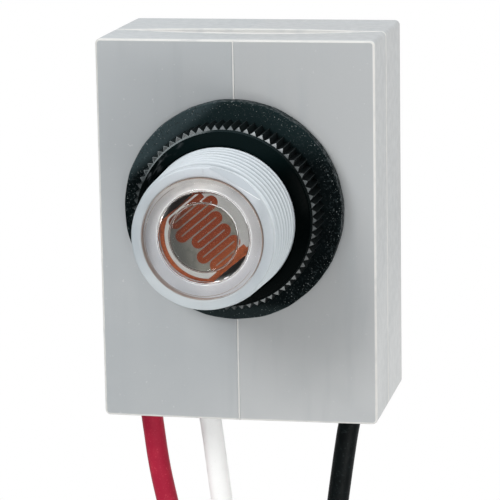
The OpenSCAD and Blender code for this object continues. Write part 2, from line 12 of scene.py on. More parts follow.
import bmesh
import bpy
from bmesh.types import BMEdge, BMFace, BMVert
from mathutils import Matrix, Vector


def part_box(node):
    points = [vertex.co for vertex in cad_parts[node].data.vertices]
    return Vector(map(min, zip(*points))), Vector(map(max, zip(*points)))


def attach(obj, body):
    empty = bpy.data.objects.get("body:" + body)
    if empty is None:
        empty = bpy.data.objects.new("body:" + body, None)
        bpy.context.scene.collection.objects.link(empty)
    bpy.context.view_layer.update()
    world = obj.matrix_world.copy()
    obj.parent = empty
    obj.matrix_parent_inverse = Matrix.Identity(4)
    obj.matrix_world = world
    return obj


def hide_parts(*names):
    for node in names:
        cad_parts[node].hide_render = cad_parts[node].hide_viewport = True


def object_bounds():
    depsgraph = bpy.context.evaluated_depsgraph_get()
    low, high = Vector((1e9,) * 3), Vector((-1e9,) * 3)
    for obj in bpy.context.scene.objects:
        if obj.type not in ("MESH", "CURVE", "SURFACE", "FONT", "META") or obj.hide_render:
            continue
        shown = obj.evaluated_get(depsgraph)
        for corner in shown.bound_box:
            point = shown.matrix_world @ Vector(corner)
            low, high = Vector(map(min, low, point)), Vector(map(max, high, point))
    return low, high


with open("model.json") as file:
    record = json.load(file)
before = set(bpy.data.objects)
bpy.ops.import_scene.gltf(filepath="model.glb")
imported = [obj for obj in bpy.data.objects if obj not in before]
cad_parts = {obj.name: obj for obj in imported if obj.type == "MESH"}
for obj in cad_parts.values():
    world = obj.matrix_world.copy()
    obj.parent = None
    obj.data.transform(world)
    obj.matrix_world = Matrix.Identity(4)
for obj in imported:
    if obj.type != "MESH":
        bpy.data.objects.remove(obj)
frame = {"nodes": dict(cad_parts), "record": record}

MM = 0.001
cad_low, cad_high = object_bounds()
print("solids:", len(frame["nodes"]), "box in mm:", [round(x / MM, 1) for x in cad_high - cad_low])

# %% [markdown]
# The photograph was taken with a long lens, from the right and a little above. A long lens keeps
# the box's edges nearly parallel, so the camera stands far off with a narrow angle. Turning it by
# azimuth, elevation and a small roll reads more easily than three Euler angles.

# %% Camera
CAMERA_PLACE = Vector((77.7, -365.7, 71.9)) * MM
AZIMUTH = math.radians(11.7)
ELEVATION = math.radians(11.785)
ROLL = math.radians(-0.99)

camera_data = bpy.data.cameras.new("camera")
camera_data.sensor_width = 36
camera_data.lens = 193.7
camera_data.clip_start = 0.01
camera_data.clip_end = 20
camera = bpy.data.objects.new("camera", camera_data)
bpy.context.scene.collection.objects.link(camera)
camera.matrix_world = (
    Matrix.Translation(CAMERA_PLACE)
    @ Matrix.Rotation(AZIMUTH, 4, "Z")
    @ Matrix.Rotation(math.pi / 2 - ELEVATION, 4, "X")
    @ Matrix.Rotation(ROLL, 4, "Z")
)
bpy.context.scene.camera = camera
bpy.context.scene.view_settings.view_transform = "Standard"
print("camera looks along", [round(x, 3) for x in camera.matrix_world.to_3x3() @ Vector((0, 0, -1))])

# %% [markdown]
# A finish starts from one Principled shader with plain numbers on its sockets. What the real
# surface has on top of that, clouds of colour, fine grain and dust, is added in the cells below.

# %% Helpers for finishes
def shader_of(material):
    return material.node_tree.nodes["Principled BSDF"]


def new_finish(name, colour, roughness, **sockets):
    """A Principled material. A socket's name is written with _ for each space."""
    material = bpy.data.materials.new(name)
    material.use_nodes = True
    inputs = shader_of(material).inputs
    inputs["Base Color"].default_value = (*colour, 1)
    inputs["Roughness"].default_value = roughness
    for socket, value in sockets.items():
        inputs[socket.replace("_", " ")].default_value = value
    return material


print("finishes start from a Principled shader")

# %% [markdown]
# Noise gives clouds and specks. Distances, along a direction or from the nipple's axis, tell one
# side of a piece from the other. A spread turns either into a factor from 0 to 1. All of them read
# the piece's own Object coordinates, so they stay put from every side and when a joint moves.

# %% Patterns and places
def grain(material, size_mm, detail=3, stretch=(1, 1, 1)):
    """Noise with features of about this size, as an output to use for colour or relief."""
    tree = material.node_tree
    place = tree.nodes.new("ShaderNodeTexCoord")
    mapping = tree.nodes.new("ShaderNodeMapping")
    mapping.inputs["Scale"].default_value = stretch
    pattern = tree.nodes.new("ShaderNodeTexNoise")
    pattern.inputs["Scale"].default_value = 1 / (size_mm * MM)
    pattern.inputs["Detail"].default_value = detail
    tree.links.new(place.outputs["Object"], mapping.inputs["Vector"])
    tree.links.new(mapping.outputs["Vector"], pattern.inputs["Vector"])
    return pattern.outputs["Fac"]


def reach(material, direction):
    """How far a point lies along a direction, in millimetres."""
    tree = material.node_tree
    place = tree.nodes.new("ShaderNodeTexCoord")
    dot = tree.nodes.new("ShaderNodeVectorMath")
    dot.operation = "DOT_PRODUCT"
    dot.inputs[1].default_value = Vector(direction) / MM
    tree.links.new(place.outputs["Object"], dot.inputs[0])
    return dot.outputs["Value"]


def off_axis(material):
    """How far a point lies from the nipple's axis, in millimetres."""
    tree = material.node_tree
    place = tree.nodes.new("ShaderNodeTexCoord")
    flat = tree.nodes.new("ShaderNodeVectorMath")
    flat.operation = "MULTIPLY"
    flat.inputs[1].default_value = (1 / MM, 0, 1 / MM)
    length = tree.nodes.new("ShaderNodeVectorMath")
    length.operation = "LENGTH"
    tree.links.new(place.outputs["Object"], flat.inputs[0])
    tree.links.new(flat.outputs["Vector"], length.inputs[0])
    return length.outputs["Value"]


def both(material, first, second, operation="MULTIPLY"):
    """A factor that is high only where two others are, or with ADD their sum."""
    node = material.node_tree.nodes.new("ShaderNodeMath")
    node.operation = operation
    material.node_tree.links.new(first, node.inputs[0])
    material.node_tree.links.new(second, node.inputs[1])
    return node.outputs["Value"]


def spread(material, factor, low, high, least=0.0, most=1.0):
    """Stretches a factor so that low becomes least and high becomes most."""
    node = material.node_tree.nodes.new("ShaderNodeMapRange")
    node.interpolation_type = "SMOOTHSTEP"
    for socket, value in (("From Min", low), ("From Max", high), ("To Min", least), ("To Max", most)):
        node.inputs[socket].default_value = value
    material.node_tree.links.new(factor, node.inputs["Value"])
    return node.outputs["Result"]


print("patterns and places ready")

# %% [markdown]
# A factor says where a second colour lies over the first, layer upon layer, as dust and wear lie on
# the real part. Roughness and relief follow such factors too, because an even gloss looks drawn.

# %% Layers
MIX_FACTOR, MIX_FIRST, MIX_SECOND, MIX_RESULT = 0, 6, 7, 2


def lay_colour(material, factor, colour):
    """Lays a colour over the present one where the factor is high."""
    tree = material.node_tree
    base = shader_of(material).inputs["Base Color"]
    mix = tree.nodes.new("ShaderNodeMix")
    mix.data_type = "RGBA"
    if base.links:
        tree.links.new(base.links[0].from_socket, mix.inputs[MIX_FIRST])
    else:
        mix.inputs[MIX_FIRST].default_value = base.default_value
    mix.inputs[MIX_SECOND].default_value = (*colour, 1)
    tree.links.new(factor, mix.inputs[MIX_FACTOR])
    tree.links.new(mix.outputs[MIX_RESULT], base)


def lay_sides(material, sides):
    """Lays a colour on each side of a piece. A side is a direction, two distances in mm and a colour."""
    for direction, low, high, colour in sides:
        lay_colour(material, spread(material, reach(material, direction), low, high), colour)


def lay_grain(material, size_mm, detail, low, high, colour, most=1.0):
    """Lays a colour in clouds or specks, where a noise lies between low and high."""
    lay_colour(material, spread(material, grain(material, size_mm, detail), low, high, 0, most), colour)


def set_roughness(material, factor):
    material.node_tree.links.new(factor, shader_of(material).inputs["Roughness"])


def add_relief(material, factor, depth_mm, strength=1.0):
    """Bumps the surface by a height, in millimetres, where the factor is high."""
    tree = material.node_tree
    bump = tree.nodes.new("ShaderNodeBump")
    bump.inputs["Distance"].default_value = depth_mm * MM
    bump.inputs["Strength"].default_value = strength
    normal = shader_of(material).inputs["Normal"]
    if normal.links:
        tree.links.new(normal.links[0].from_socket, bump.inputs["Normal"])
    tree.links.new(factor, bump.inputs["Height"])
    tree.links.new(bump.outputs["Normal"], normal)


print("layers ready")

# %% [markdown]
# The insulation of the leads is soft PVC: satin, with faint clouds from the extruder. Each colour
# gets its own finish from one function, because only the numbers differ: a colour, its clouds, its
# specks and its roughness.

# %% Insulation
def insulation(name, colour, cloud, speck, roughness):
    material = new_finish(name, colour, roughness, Specular_IOR_Level=0.1)
    lay_grain(material, 2.5, 3, 0.35, 0.75, cloud)
    lay_grain(material, 0.3, 3, 0.58, 0.7, speck)
    gloss = spread(material, grain(material, 0.6), 0.3, 0.7, roughness - 0.08, roughness + 0.08)
    set_roughness(material, gloss)
    add_relief(material, grain(material, 0.35), 0.012)
    return material


INSULATION = {
    "red": ((0.39, 0.016, 0.045), (0.46, 0.024, 0.055), (0.5, 0.04, 0.07), 0.42),
    "white": ((0.99, 0.99, 0.98), (1, 1, 0.99), (0.95, 0.95, 0.94), 0.45),
    "black": ((0.0015, 0.003, 0.0033), (0.003, 0.005, 0.0055), (0.014, 0.02, 0.021), 0.4),
}
LEAD_FINISHES = {colour: insulation(colour + "_insulation", *looks) for colour, looks in INSULATION.items()}
print("insulation:", sorted(LEAD_FINISHES))

# %% [markdown]
# Three leads leave the box at its seam and hang down. A lead is a curve through the same points
# as its solid, with a round bevel: a curve bends smoothly, and its own line is what gets measured.
# Each is 6 inches long, as on such switches, of which the last 10 mm is stripped.

# %% Leads
LEAD_DIAMETER = 3.2 * MM
SEAM_DEPTH = 10.7
HOUSING_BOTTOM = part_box("front_shell")[0].z / MM
LEAD_RISE = [5, 0, -5, -11, -17, -24, -31, -39, -48, -57,
             -66, -75, -84, -93, -102, -111, -119, -127, -134, -140]
LEAD_DRIFT = {
    "red": [0, 0, 0.5, 1.3, 2.5, 3.8, 4.8, 5.6, 6.1, 6.4,
            6.6, 6.7, 6.8, 6.8, 6.8, 6.8, 6.8, 6.8, 6.8, 6.8],
    "white": [0, 0, 0.6, 1.3, 2, 2.7, 3.2, 3.6, 3.9, 4,
              4, 4, 4, 4, 4, 4, 4, 4, 4, 4],
    "black": [0, 0, -0.8, -1.7, -2.5, -3.2, -3.7, -4.1, -4.4, -4.6,
              -4.7, -4.8, -4.8, -4.8, -4.8, -4.8, -4.8, -4.8, -4.8, -4.8],
}
LEAD_EXIT = {"red": -15.8, "white": -7, "black": 14.6}


def lead_points(colour):
    exit_x = LEAD_EXIT[colour]
    return [
        Vector((exit_x + drift, SEAM_DEPTH, HOUSING_BOTTOM + rise)) * MM
        for drift, rise in zip(LEAD_DRIFT[colour], LEAD_RISE)
    ]


leads = {}
for colour in LEAD_EXIT:
    curve = bpy.data.curves.new(colour + "_wire", "CURVE")
    curve.dimensions = "3D"
    curve.bevel_depth = LEAD_DIAMETER / 2
    curve.bevel_resolution = 8
    curve.resolution_u = 6
    curve.use_fill_caps = True
    spline = curve.splines.new("BEZIER")
    points = lead_points(colour)
    spline.bezier_points.add(len(points) - 1)
    for knot, point in zip(spline.bezier_points, points):
        knot.co = point
        knot.handle_left_type = knot.handle_right_type = "AUTO"
    curve.materials.append(LEAD_FINISHES[colour])
    leads[colour] = bpy.data.objects.new(colour + "_wire", curve)
    bpy.context.scene.collection.objects.link(leads[colour])
    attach(leads[colour], "housing")
    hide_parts(colour + "_lead")
    print(colour, "lead leaves at x =", LEAD_EXIT[colour], "mm")

# %% [markdown]
# Plain pieces share three steps: the bmesh becomes a mesh, edges sharper than an angle stay crisp,
# and the object rides on its body. Weighted normals keep large flat walls flat beside their small
# round edges, which plain smooth shading would darken.

# %% Helpers for pieces
def add_piece(name, bm, finish, body, stands_for=(), crease=35, weighted=False):
    """Turns a bmesh, built in place, into a piece of the object."""
    mesh = bpy.data.meshes.new(name)
    bm.to_mesh(mesh)
    bm.free()
    mesh.shade_smooth()
    mesh.set_sharp_from_angle(angle=math.radians(crease))
    for material in finish if isinstance(finish, (list, tuple)) else [finish]:
        mesh.materials.append(material)
    piece = bpy.data.objects.new(name, mesh)
    bpy.context.scene.collection.objects.link(piece)
    if weighted:
        piece.modifiers.new("flat walls", "WEIGHTED_NORMAL").keep_sharp = True
    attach(piece, body)
    if stands_for:
        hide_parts(*stands_for)
    print(name, "has", len(mesh.polygons), "faces")
    return piece


def clean(bm, distance_mm=0.002):
    """Merges doubled vertices, then turns all faces outwards."""
    bmesh.ops.remove_doubles(bm, verts=bm.verts[:], dist=distance_mm * MM)
    bmesh.ops.recalc_face_normals(bm, faces=bm.faces[:])


print("piece helpers ready")

# %% [markdown]
# The nipple, lens, gasket and nut are all turned about one axis. A profile of radius and distance
# forward of the box is a few vertices joined by edges, and spin sweeps it round.

# %% Turned shapes
AXIS = Vector((0, -1, 0))
SIDES = 144


def profile_edges(bm, profile, closed):
    """Draws a profile of (radius, forward) points in millimetres and returns its geometry."""
    verts = [bm.verts.new((r * MM, -f * MM, 0)) for r, f in profile]
    edges = [bm.edges.new(pair) for pair in zip(verts, verts[1:])]
    if closed:
        edges.append(bm.edges.new((verts[-1], verts[0])))
    return verts + edges


def turn_profile(bm, geometry):
    """Sweeps a drawn profile once round the axis."""
    bmesh.ops.spin(
        bm, geom=geometry, cent=(0, 0, 0), axis=AXIS, angle=2 * math.pi, steps=SIDES, use_merge=True
    )


print("the axis points to", tuple(AXIS))

# %% [markdown]
# The nipple is natural nylon: milky, a little blue, and light sinks into it before it comes back.
# Subsurface scattering with a short radius gives that soft look without making it waxy. Light and shade are
# painted into its colour: painted light on the top, painted shade in the grooves of the thread, and painted
# shade on the rim's face, lighter at its top and foot. The seat behind the lens has a finish of its own, with
# a faint painted glow and painted light and shade on its sides, standing in for light that comes through the
# wall.

# %% Nylon
THREAD_R = 10.45
THREAD_END = 20.5
TAPER_START = 10.2
TAPER = 0.04
TRIM_TURN = math.radians(59)

nylon = new_finish(
    "milky_nylon", (0.5, 0.55, 0.58), 0.36,
    Subsurface_Weight=0.3, Subsurface_Radius=(1, 1, 1), Subsurface_Scale=0.3 * MM, IOR=1.52,
)
painted_light_top = spread(nylon, reach(nylon, (0.34, 0, 0.94)), 1, 9)
painted_light_foot = spread(nylon, reach(nylon, (-0.34, 0, -0.94)), 4, 9)
painted_shade_right = spread(nylon, reach(nylon, (0.98, 0, 0.17)), 7.5, 9.1)
forward = reach(nylon, (0, -1, 0))
on_rim = spread(nylon, forward, 21.3, 21.8)
behind_rim = spread(nylon, forward, THREAD_END - 0.05, THREAD_END + 0.1, 1, 0)
tapered_off = spread(nylon, forward, TAPER_START, THREAD_END, 0, TAPER * (THREAD_END - TAPER_START))
untapered = both(nylon, off_axis(nylon), tapered_off, "ADD")
painted_groove_shade = spread(nylon, untapered, THREAD_R - 0.35, THREAD_R - 0.1, 1, 0)
# Painted light and shade: lighter on the top, darker in the grooves of the thread, and the rim's face darker,
# lighter at its top and foot and darker again on its right.
for place, colour in (
    (painted_light_top, (0.63, 0.675, 0.71)),
    (both(nylon, painted_groove_shade, behind_rim), (0.45, 0.49, 0.52)),
    (on_rim, (0.42, 0.465, 0.497)),
    (both(nylon, on_rim, painted_light_top), (0.57, 0.61, 0.65)),
    (both(nylon, on_rim, painted_light_foot), (0.51, 0.555, 0.58)),
    (both(nylon, on_rim, painted_shade_right), (0.43, 0.47, 0.5)),
):
    lay_colour(nylon, place, colour)
lay_grain(nylon, 3.5, 2, 0.4, 0.75, (0.58, 0.62, 0.645), 0.25)
set_roughness(nylon, spread(nylon, grain(nylon, 0.5), 0.3, 0.7, 0.3, 0.42))
add_relief(nylon, grain(nylon, 0.25), 0.006)

cut_nylon = new_finish("cut_nylon", (0.46, 0.5, 0.535), 0.4, IOR=1.52)
# The line round the trimmed flat is a painted highlight, paler towards one end.
trim_highlight_nylon = new_finish("trim_highlight_nylon", (0.5, 0.54, 0.575), 0.36, IOR=1.52)
lay_sides(trim_highlight_nylon, [((math.sin(TRIM_TURN), 0, -math.cos(TRIM_TURN)), -0.5, 2, (0.82, 0.85, 0.87))])

# The seat has a faint painted glow, is painted lighter at the top and painted darker on its other sides,
# standing in for light through the wall.
seat_painted_light = new_finish(
    "seat_painted_light", (0.74, 0.735, 0.74), 0.4, Emission_Color=(1, 0.97, 0.98, 1), Emission_Strength=0.025
)
lay_sides(seat_painted_light, [
    ((0.87, 0, 0.5), 2, 7, (0.57, 0.565, 0.57)),
    ((-0.17, 0, 0.98), 5, 7.8, (0.97, 0.95, 0.93)),
    ((-0.77, 0, -0.64), 2, 7, (0.56, 0.57, 0.595)),
    ((0.6, 0, -0.8), 4, 7.5, (0.68, 0.68, 0.7)),
])
lay_grain(seat_painted_light, 2, 2, 0.45, 0.75, (0.62, 0.615, 0.63), 0.3)
print("nylon ready")

# %% [markdown]
# The thread is a true right-hand helix. One pitch of its profile is spun with a small step forward
# each time, so that the end of one turn meets the start of the next. Ahead of the nut the screw
# narrows a little, as moulded threads do, and it is then cut square at both ends. The turns are as
# far apart as they look in the photograph, which is closer than the plain rings of the solid.

# %% Thread
ROOT_R = 9.4
PITCH = 1.5
FLANK = 0.5
CREST = 0.3
CREST_ROUND = 0.12
THREAD_FOOT = 0.1
THREAD_PHASE = math.radians(-55)


def round_profile(bm, geometry, corners, radius_mm, segments=3):
    """Rounds some corners of a profile before it is spun, and returns the whole profile."""
    verts = [geometry[i] for i in corners]
    bmesh.ops.bevel(
        bm, geom=verts, offset=radius_mm * MM, offset_type="OFFSET", affect="VERTICES",
        segments=segments, profile=0.5, material=-1,
    )
    return bm.verts[:] + bm.edges[:]


def slice_at(bm, place, normal, **cleared):
    """Cuts a bmesh by a plane, clears the sides that are named and returns what lies on the cut."""
    return bmesh.ops.bisect_plane(
        bm, geom=bm.verts[:] + bm.edges[:] + bm.faces[:], dist=1e-4 * MM,
        plane_co=place, plane_no=normal, **cleared,
    )["geom_cut"]


def screw_thread(bm):
    """Spins the thread's ridge along the axis, and cuts it square at its foot and its end."""
    ridge = [
        (ROOT_R, 0), (THREAD_R, FLANK), (THREAD_R, FLANK + CREST),
        (ROOT_R, 2 * FLANK + CREST), (ROOT_R, PITCH),
    ]
    start = THREAD_FOOT - 2 * PITCH
    turns = math.ceil((THREAD_END - start) / PITCH) + 2
    geometry = profile_edges(bm, [(r, f + start) for r, f in ridge], closed=False)
    geometry = round_profile(bm, geometry, (1, 2), CREST_ROUND, 2)
    bmesh.ops.rotate(bm, verts=bm.verts[:], cent=(0, 0, 0), matrix=Matrix.Rotation(THREAD_PHASE, 3, AXIS))
    bmesh.ops.spin(
        bm, geom=geometry, cent=(0, 0, 0), axis=AXIS, dvec=AXIS * PITCH * MM / SIDES,
        angle=2 * math.pi * turns, steps=turns * SIDES,
    )
    bmesh.ops.remove_doubles(bm, verts=bm.verts[:], dist=0.002 * MM)
    for vert in bm.verts:
        radius = math.hypot(vert.co.x, vert.co.z) / MM
        ahead = max(0, -vert.co.y / MM - TAPER_START)
        vert.co.x *= 1 - TAPER * ahead / radius
        vert.co.z *= 1 - TAPER * ahead / radius
    slice_at(bm, AXIS * THREAD_END * MM, AXIS, clear_outer=True)
    slice_at(bm, AXIS * THREAD_FOOT * MM, AXIS, clear_inner=True)


screw = bmesh.new()
screw_thread(screw)
print("faces of the thread:", len(screw.faces))

# %% [markdown]
# The rest of the nipple is a plain tube, spun without the step: the rim, the seat of the lens, the
# sensor's pocket, the bore and the flange that holds the nipple in the box. It stays open where the
# thread joins on.

# %% Tube
NIPPLE_LOW, NIPPLE_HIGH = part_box("threaded_nipple")
TIP = -NIPPLE_LOW.y / MM
FLANGE_BACK = -NIPPLE_HIGH.y / MM
FLANGE_FLAT = NIPPLE_HIGH.x
LENS_BACK = -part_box("lens")[1].y / MM
FLANGE_FRONT = -2
FLANGE_R = 13
RIM_R = 9.8
RIM_BASE = 20.65
RIM_ROUND = 0.28
SEAT_R = 8.35
POCKET_R = 6.25
POCKET_END = 17
BORE_R = 7.4


def plain_tube():
    """Spins the nipple's rim, lens seat, bore and flange, open where the thread joins on."""
    tube = [
        (RIM_R, RIM_BASE), (RIM_R, TIP), (SEAT_R, TIP), (SEAT_R, LENS_BACK), (POCKET_R, LENS_BACK),
        (POCKET_R, POCKET_END), (BORE_R, POCKET_END), (BORE_R, FLANGE_BACK), (FLANGE_R, FLANGE_BACK),
        (FLANGE_R, FLANGE_FRONT), (THREAD_R, FLANGE_FRONT), (THREAD_R, 0),
    ]
    part = bmesh.new()
    geometry = profile_edges(part, tube, closed=False)
    geometry = round_profile(part, geometry, (1, 2), RIM_ROUND, 4)
    turn_profile(part, geometry)
    for vert in part.verts:
        vert.co.x = max(-FLANGE_FLAT, min(FLANGE_FLAT, vert.co.x))
    return part


bm = plain_tube()
print("faces of the tube:", len(bm.faces))

# %% [markdown]
# A plane trims a small flat off the tube's rim, and the thread's two cut loops are bridged to the
# tube, which makes one skin of both. Two fine ridges show where the halves of the mould met.

# %% Nipple
TRIM_FACE = 8.75
TRIM_SLOPE = math.radians(37.5)
TRIM_EDGE = 0.12
SEAT_LIT, TRIM_CUT, TRIM_HIGHLIGHT = 1, 2, 3
MARK_TURNS = (math.radians(88), math.radians(268))
MARK_SIZE = Vector((0.75, 0.1, 0.12)) * MM
MARK_R = 9.15


def only(kind, geometry):
    """The vertices, edges or faces among what an operator returns."""
    return [item for item in geometry if isinstance(item, kind)]


def inset_each(bm, faces, width_mm):
    """Insets each face by itself and returns the border faces."""
    return bmesh.ops.inset_individual(bm, faces=faces, thickness=width_mm * MM, use_even_offset=True)["faces"]


def join(bm, other):
    """Adds another bmesh to the first one."""
    mesh = bpy.data.meshes.new("joined")
    other.to_mesh(mesh)
    other.free()
    bm.from_mesh(mesh)
    bpy.data.meshes.remove(mesh)


def loop_at(bm, forward):
    """The open edges that lie on the plane at this distance forward."""
    return [
        edge for edge in bm.edges
        if edge.is_boundary and all(abs(v.co.y + forward * MM) < 1e-3 * MM for v in edge.verts)
    ]


def trim_rim(bm):
    """Slices a small flat off the rim's outer edge, where the mould's gate was, and closes the cut."""
    outward = Vector((math.cos(TRIM_TURN), 0, math.sin(TRIM_TURN)))
    slope = outward * math.sin(TRIM_SLOPE) + AXIS * math.cos(TRIM_SLOPE)
    cut = slice_at(bm, (outward * TRIM_FACE + AXIS * TIP) * MM, slope, clear_outer=True)
    flat = bmesh.ops.edgeloop_fill(bm, edges=only(BMEdge, cut))["faces"]
    border = inset_each(bm, flat, TRIM_EDGE)
    for face in flat + border:
        face.material_index = TRIM_CUT
    # The inner border of the flat gets the painted highlight.
    for face in border:
        if face.calc_center_median().dot(outward) < (TRIM_FACE + TRIM_EDGE) * MM:
            face.material_index = TRIM_HIGHLIGHT


def add_marks(bm):
    """Lays two fine ridges across the rim, where the halves of the mould met."""
    for turn in MARK_TURNS:
        place = Matrix.Rotation(turn, 4, AXIS) @ Matrix.Translation((MARK_R * MM, -TIP * MM, 0))
        bmesh.ops.create_cube(bm, size=1, matrix=place @ Matrix.Diagonal((*MARK_SIZE, 1)))


trim_rim(bm)
join(bm, screw)
for thread_loop, tube_loop in ((THREAD_END, RIM_BASE), (THREAD_FOOT, 0)):
    bmesh.ops.bridge_loops(bm, edges=loop_at(bm, thread_loop) + loop_at(bm, tube_loop))
clean(bm)
add_marks(bm)
for face in bm.faces:
    middle = face.calc_center_median()
    if -middle.y > POCKET_END * MM and math.hypot(middle.x, middle.z) < (SEAT_R + 0.01) * MM:
        face.material_index = SEAT_LIT
print("open edges on the nipple:", sum(1 for edge in bm.edges if edge.is_boundary))
nipple_finishes = [nylon, seat_painted_light, cut_nylon, trim_highlight_nylon]
add_piece("nipple", bm, nipple_finishes, "housing", ["threaded_nipple"], crease=30)

# %% [markdown]
# The lens is clear polished plastic, thick enough to bend what lies behind it. It is one turned
# solid with closed poles, because a refracting shader needs a true inside. Two V-shaped rings in its
# back draw bright lines, a fine line runs round its face, and its matt edge looks brown. It casts no
# shadow, so that the lamps reach the sensor through it as they do through the real one.

# %% Lens
LENS_LOW, LENS_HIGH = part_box("lens")
LENS_R = LENS_HIGH.x / MM
LENS_FACE = -LENS_LOW.y / MM
WINDOW_R = 4.6
WINDOW_W = 0.24
WINDOW_H = 0.3
RING_R = 6.2
RING_W = 0.3
RING_H = 0.26
FACE_LINE_R = 7.74
FACE_LINE_W = 0.06
FACE_LINE_H = 0.05
LENS_ROUND = 0.1
EDGE_SKIN = 0.05
LENS_EDGE = 1

clear_plastic = new_finish(
    "clear_plastic", (0.97, 0.98, 0.98), 0.03, IOR=1.49, Transmission_Weight=1.0,
)
set_roughness(clear_plastic, spread(clear_plastic, grain(clear_plastic, 1.5), 0.45, 0.8, 0.015, 0.06))
lens_edge = new_finish("lens_edge", (0.33, 0.25, 0.21), 0.5)

bm = bmesh.new()
geometry = profile_edges(bm, [
    (0, LENS_BACK),
    (WINDOW_R, LENS_BACK), (WINDOW_R + WINDOW_W / 2, LENS_BACK + WINDOW_H), (WINDOW_R + WINDOW_W, LENS_BACK),
    (RING_R, LENS_BACK), (RING_R + RING_W / 2, LENS_BACK + RING_H), (RING_R + RING_W, LENS_BACK),
    (LENS_R, LENS_BACK), (LENS_R, LENS_FACE),
    (FACE_LINE_R + FACE_LINE_W, LENS_FACE), (FACE_LINE_R, LENS_FACE - FACE_LINE_H),
    (FACE_LINE_R - FACE_LINE_W, LENS_FACE), (0, LENS_FACE),
], closed=False)
geometry = round_profile(bm, geometry, (1, 2, 3, 4, 5, 6, 8), LENS_ROUND)
turn_profile(bm, geometry)
clean(bm)
for face in bm.faces:
    middle = face.calc_center_median()
    if math.hypot(middle.x, middle.z) > (LENS_R - EDGE_SKIN) * MM:
        face.material_index = LENS_EDGE
lens = add_piece("clear_lens", bm, [clear_plastic, lens_edge], "housing", ["lens"], crease=8)
lens.visible_shadow = False

# %% [markdown]
# Behind the lens lies the sensor: a ceramic disc with a metal film, and a rust-brown track that winds across
# it. Both films are thin and uneven. Their colours also hold painted shade at the left and painted light at
# the lower right, and the metal film has a painted reflection of the lens, paler outside the window, with
# painted shade at its upper right.

# %% Sensor finishes
rust_film = new_finish("rust_film", (0.13, 0.02, 0.0035), 0.5, Specular_IOR_Level=0.05)
# Painted light at the lower right and painted shade at the left, with a brighter orange arc at the outer edge
# on the left.
lay_sides(rust_film, [
    ((0.7, 0, -0.7), 1, 5, (0.2, 0.044, 0.011)),
    ((-1, 0, 0.3), 2, 4.6, (0.065, 0.011, 0.002)),
])
left_side = spread(rust_film, reach(rust_film, (-1, 0, 0)), 1, 4)
outer_arc = spread(rust_film, off_axis(rust_film), 5.4, 5.7)
lay_colour(rust_film, both(rust_film, left_side, outer_arc), (0.24, 0.055, 0.017))
lay_grain(rust_film, 0.22, 4, 0.45, 0.7, (0.085, 0.0145, 0.004), 0.6)
lay_grain(rust_film, 0.12, 2, 0.64, 0.72, (0.36, 0.11, 0.045))
add_relief(rust_film, grain(rust_film, 0.12), 0.01)

metal_film = new_finish("metal_film", (0.132, 0.13, 0.11), 0.45, Metallic=0.4)
lay_grain(metal_film, 0.9, 4, 0.45, 0.75, (0.08, 0.082, 0.07))
# Painted shade at the left. A painted reflection of the lens makes the film paler outside the window, with
# painted shade at its upper right.
lay_sides(metal_film, [((-1, 0, -0.3), 1.5, 4.4, (0.05, 0.05, 0.044))])
painted_reflection_band = spread(metal_film, off_axis(metal_film), 4.6, 4.9)
lay_colour(metal_film, painted_reflection_band, (0.36, 0.36, 0.35))
painted_shade_upper_right = spread(metal_film, reach(metal_film, (0.87, 0, 0.5)), 2, 5)
lay_colour(metal_film, both(metal_film, painted_reflection_band, painted_shade_upper_right), (0.27, 0.266, 0.257))
add_relief(metal_film, grain(metal_film, 0.1), 0.008)
print("sensor finishes ready")

# %% [markdown]
# The track is drawn like a pen stroke: one short edge is extruded along a leg and spun half a turn
# at its end, again and again, and the ribbon then gets its thickness.

# %% Sensor track
CELL_FACE = -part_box("cell_track")[0].y
CELL_TURN = math.radians(40)
CELL_R = 6.2
CELL_FLAT = 5.4
TRACK_LEGS = 10
TRACK_PITCH = 1.0
TRACK_W = 0.81
TRACK_END = 0.3
FILM = 0.04 * MM
LOWER_TURN = -1.8
UPPER_TURN = 2.6
LOWER_STAGGER = [-0.1, -0.6, 0.6, -0.2, 0.45]
UPPER_STAGGER = [1.2, 0.3, 0.1, 0.1]
ALONG = Vector((math.cos(CELL_TURN), 0, math.sin(CELL_TURN)))
ACROSS = Vector((math.sin(CELL_TURN), 0, -math.cos(CELL_TURN)))


def on_cell(along, across, forward):
    return ALONG * along * MM + ACROSS * across * MM + AXIS * forward


def leg_place(leg):
    return (leg - (TRACK_LEGS - 1) / 2) * TRACK_PITCH


def turn_end(leg):
    """Where the turn after this leg has its centre, along the legs."""
    if leg == TRACK_LEGS - 1:
        return math.sqrt(CELL_R ** 2 - (CELL_FLAT - TRACK_END) ** 2)
    if leg % 2:
        return UPPER_TURN + UPPER_STAGGER[leg // 2]
    return LOWER_TURN + LOWER_STAGGER[leg // 2]


def thicken(bm, depth):
    """Makes a solid of a flat shape by extruding all its faces forward."""
    raised = bmesh.ops.extrude_face_region(bm, geom=bm.faces[:], use_keep_orig=True)["geom"]
    bmesh.ops.translate(bm, verts=only(BMVert, raised), vec=AXIS * depth)


def draw_track(bm):
    half = TRACK_W / 2
    start = turn_end(TRACK_LEGS - 1)
    pen = [bm.verts.new(on_cell(start, leg_place(0) + side, CELL_FACE - FILM)) for side in (-half, half)]
    edge = bm.edges.new(pen)
    here = start
    for leg in range(TRACK_LEGS):
        ends = only(BMVert, bmesh.ops.extrude_edge_only(bm, edges=[edge])["geom"])
        bmesh.ops.translate(bm, verts=ends, vec=ALONG * (turn_end(leg) - here) * MM)
        here = turn_end(leg)
        edge = bm.edges.get(ends)
        if leg < TRACK_LEGS - 1:
            centre = on_cell(here, leg_place(leg) + TRACK_PITCH / 2, CELL_FACE - FILM)
            turned = bmesh.ops.spin(
                bm, geom=[edge, *ends], cent=centre, axis=AXIS, steps=12,
                angle=-math.pi if leg % 2 else math.pi,
            )["geom_last"]
            edge = only(BMEdge, turned)[0]
    thicken(bm, FILM)


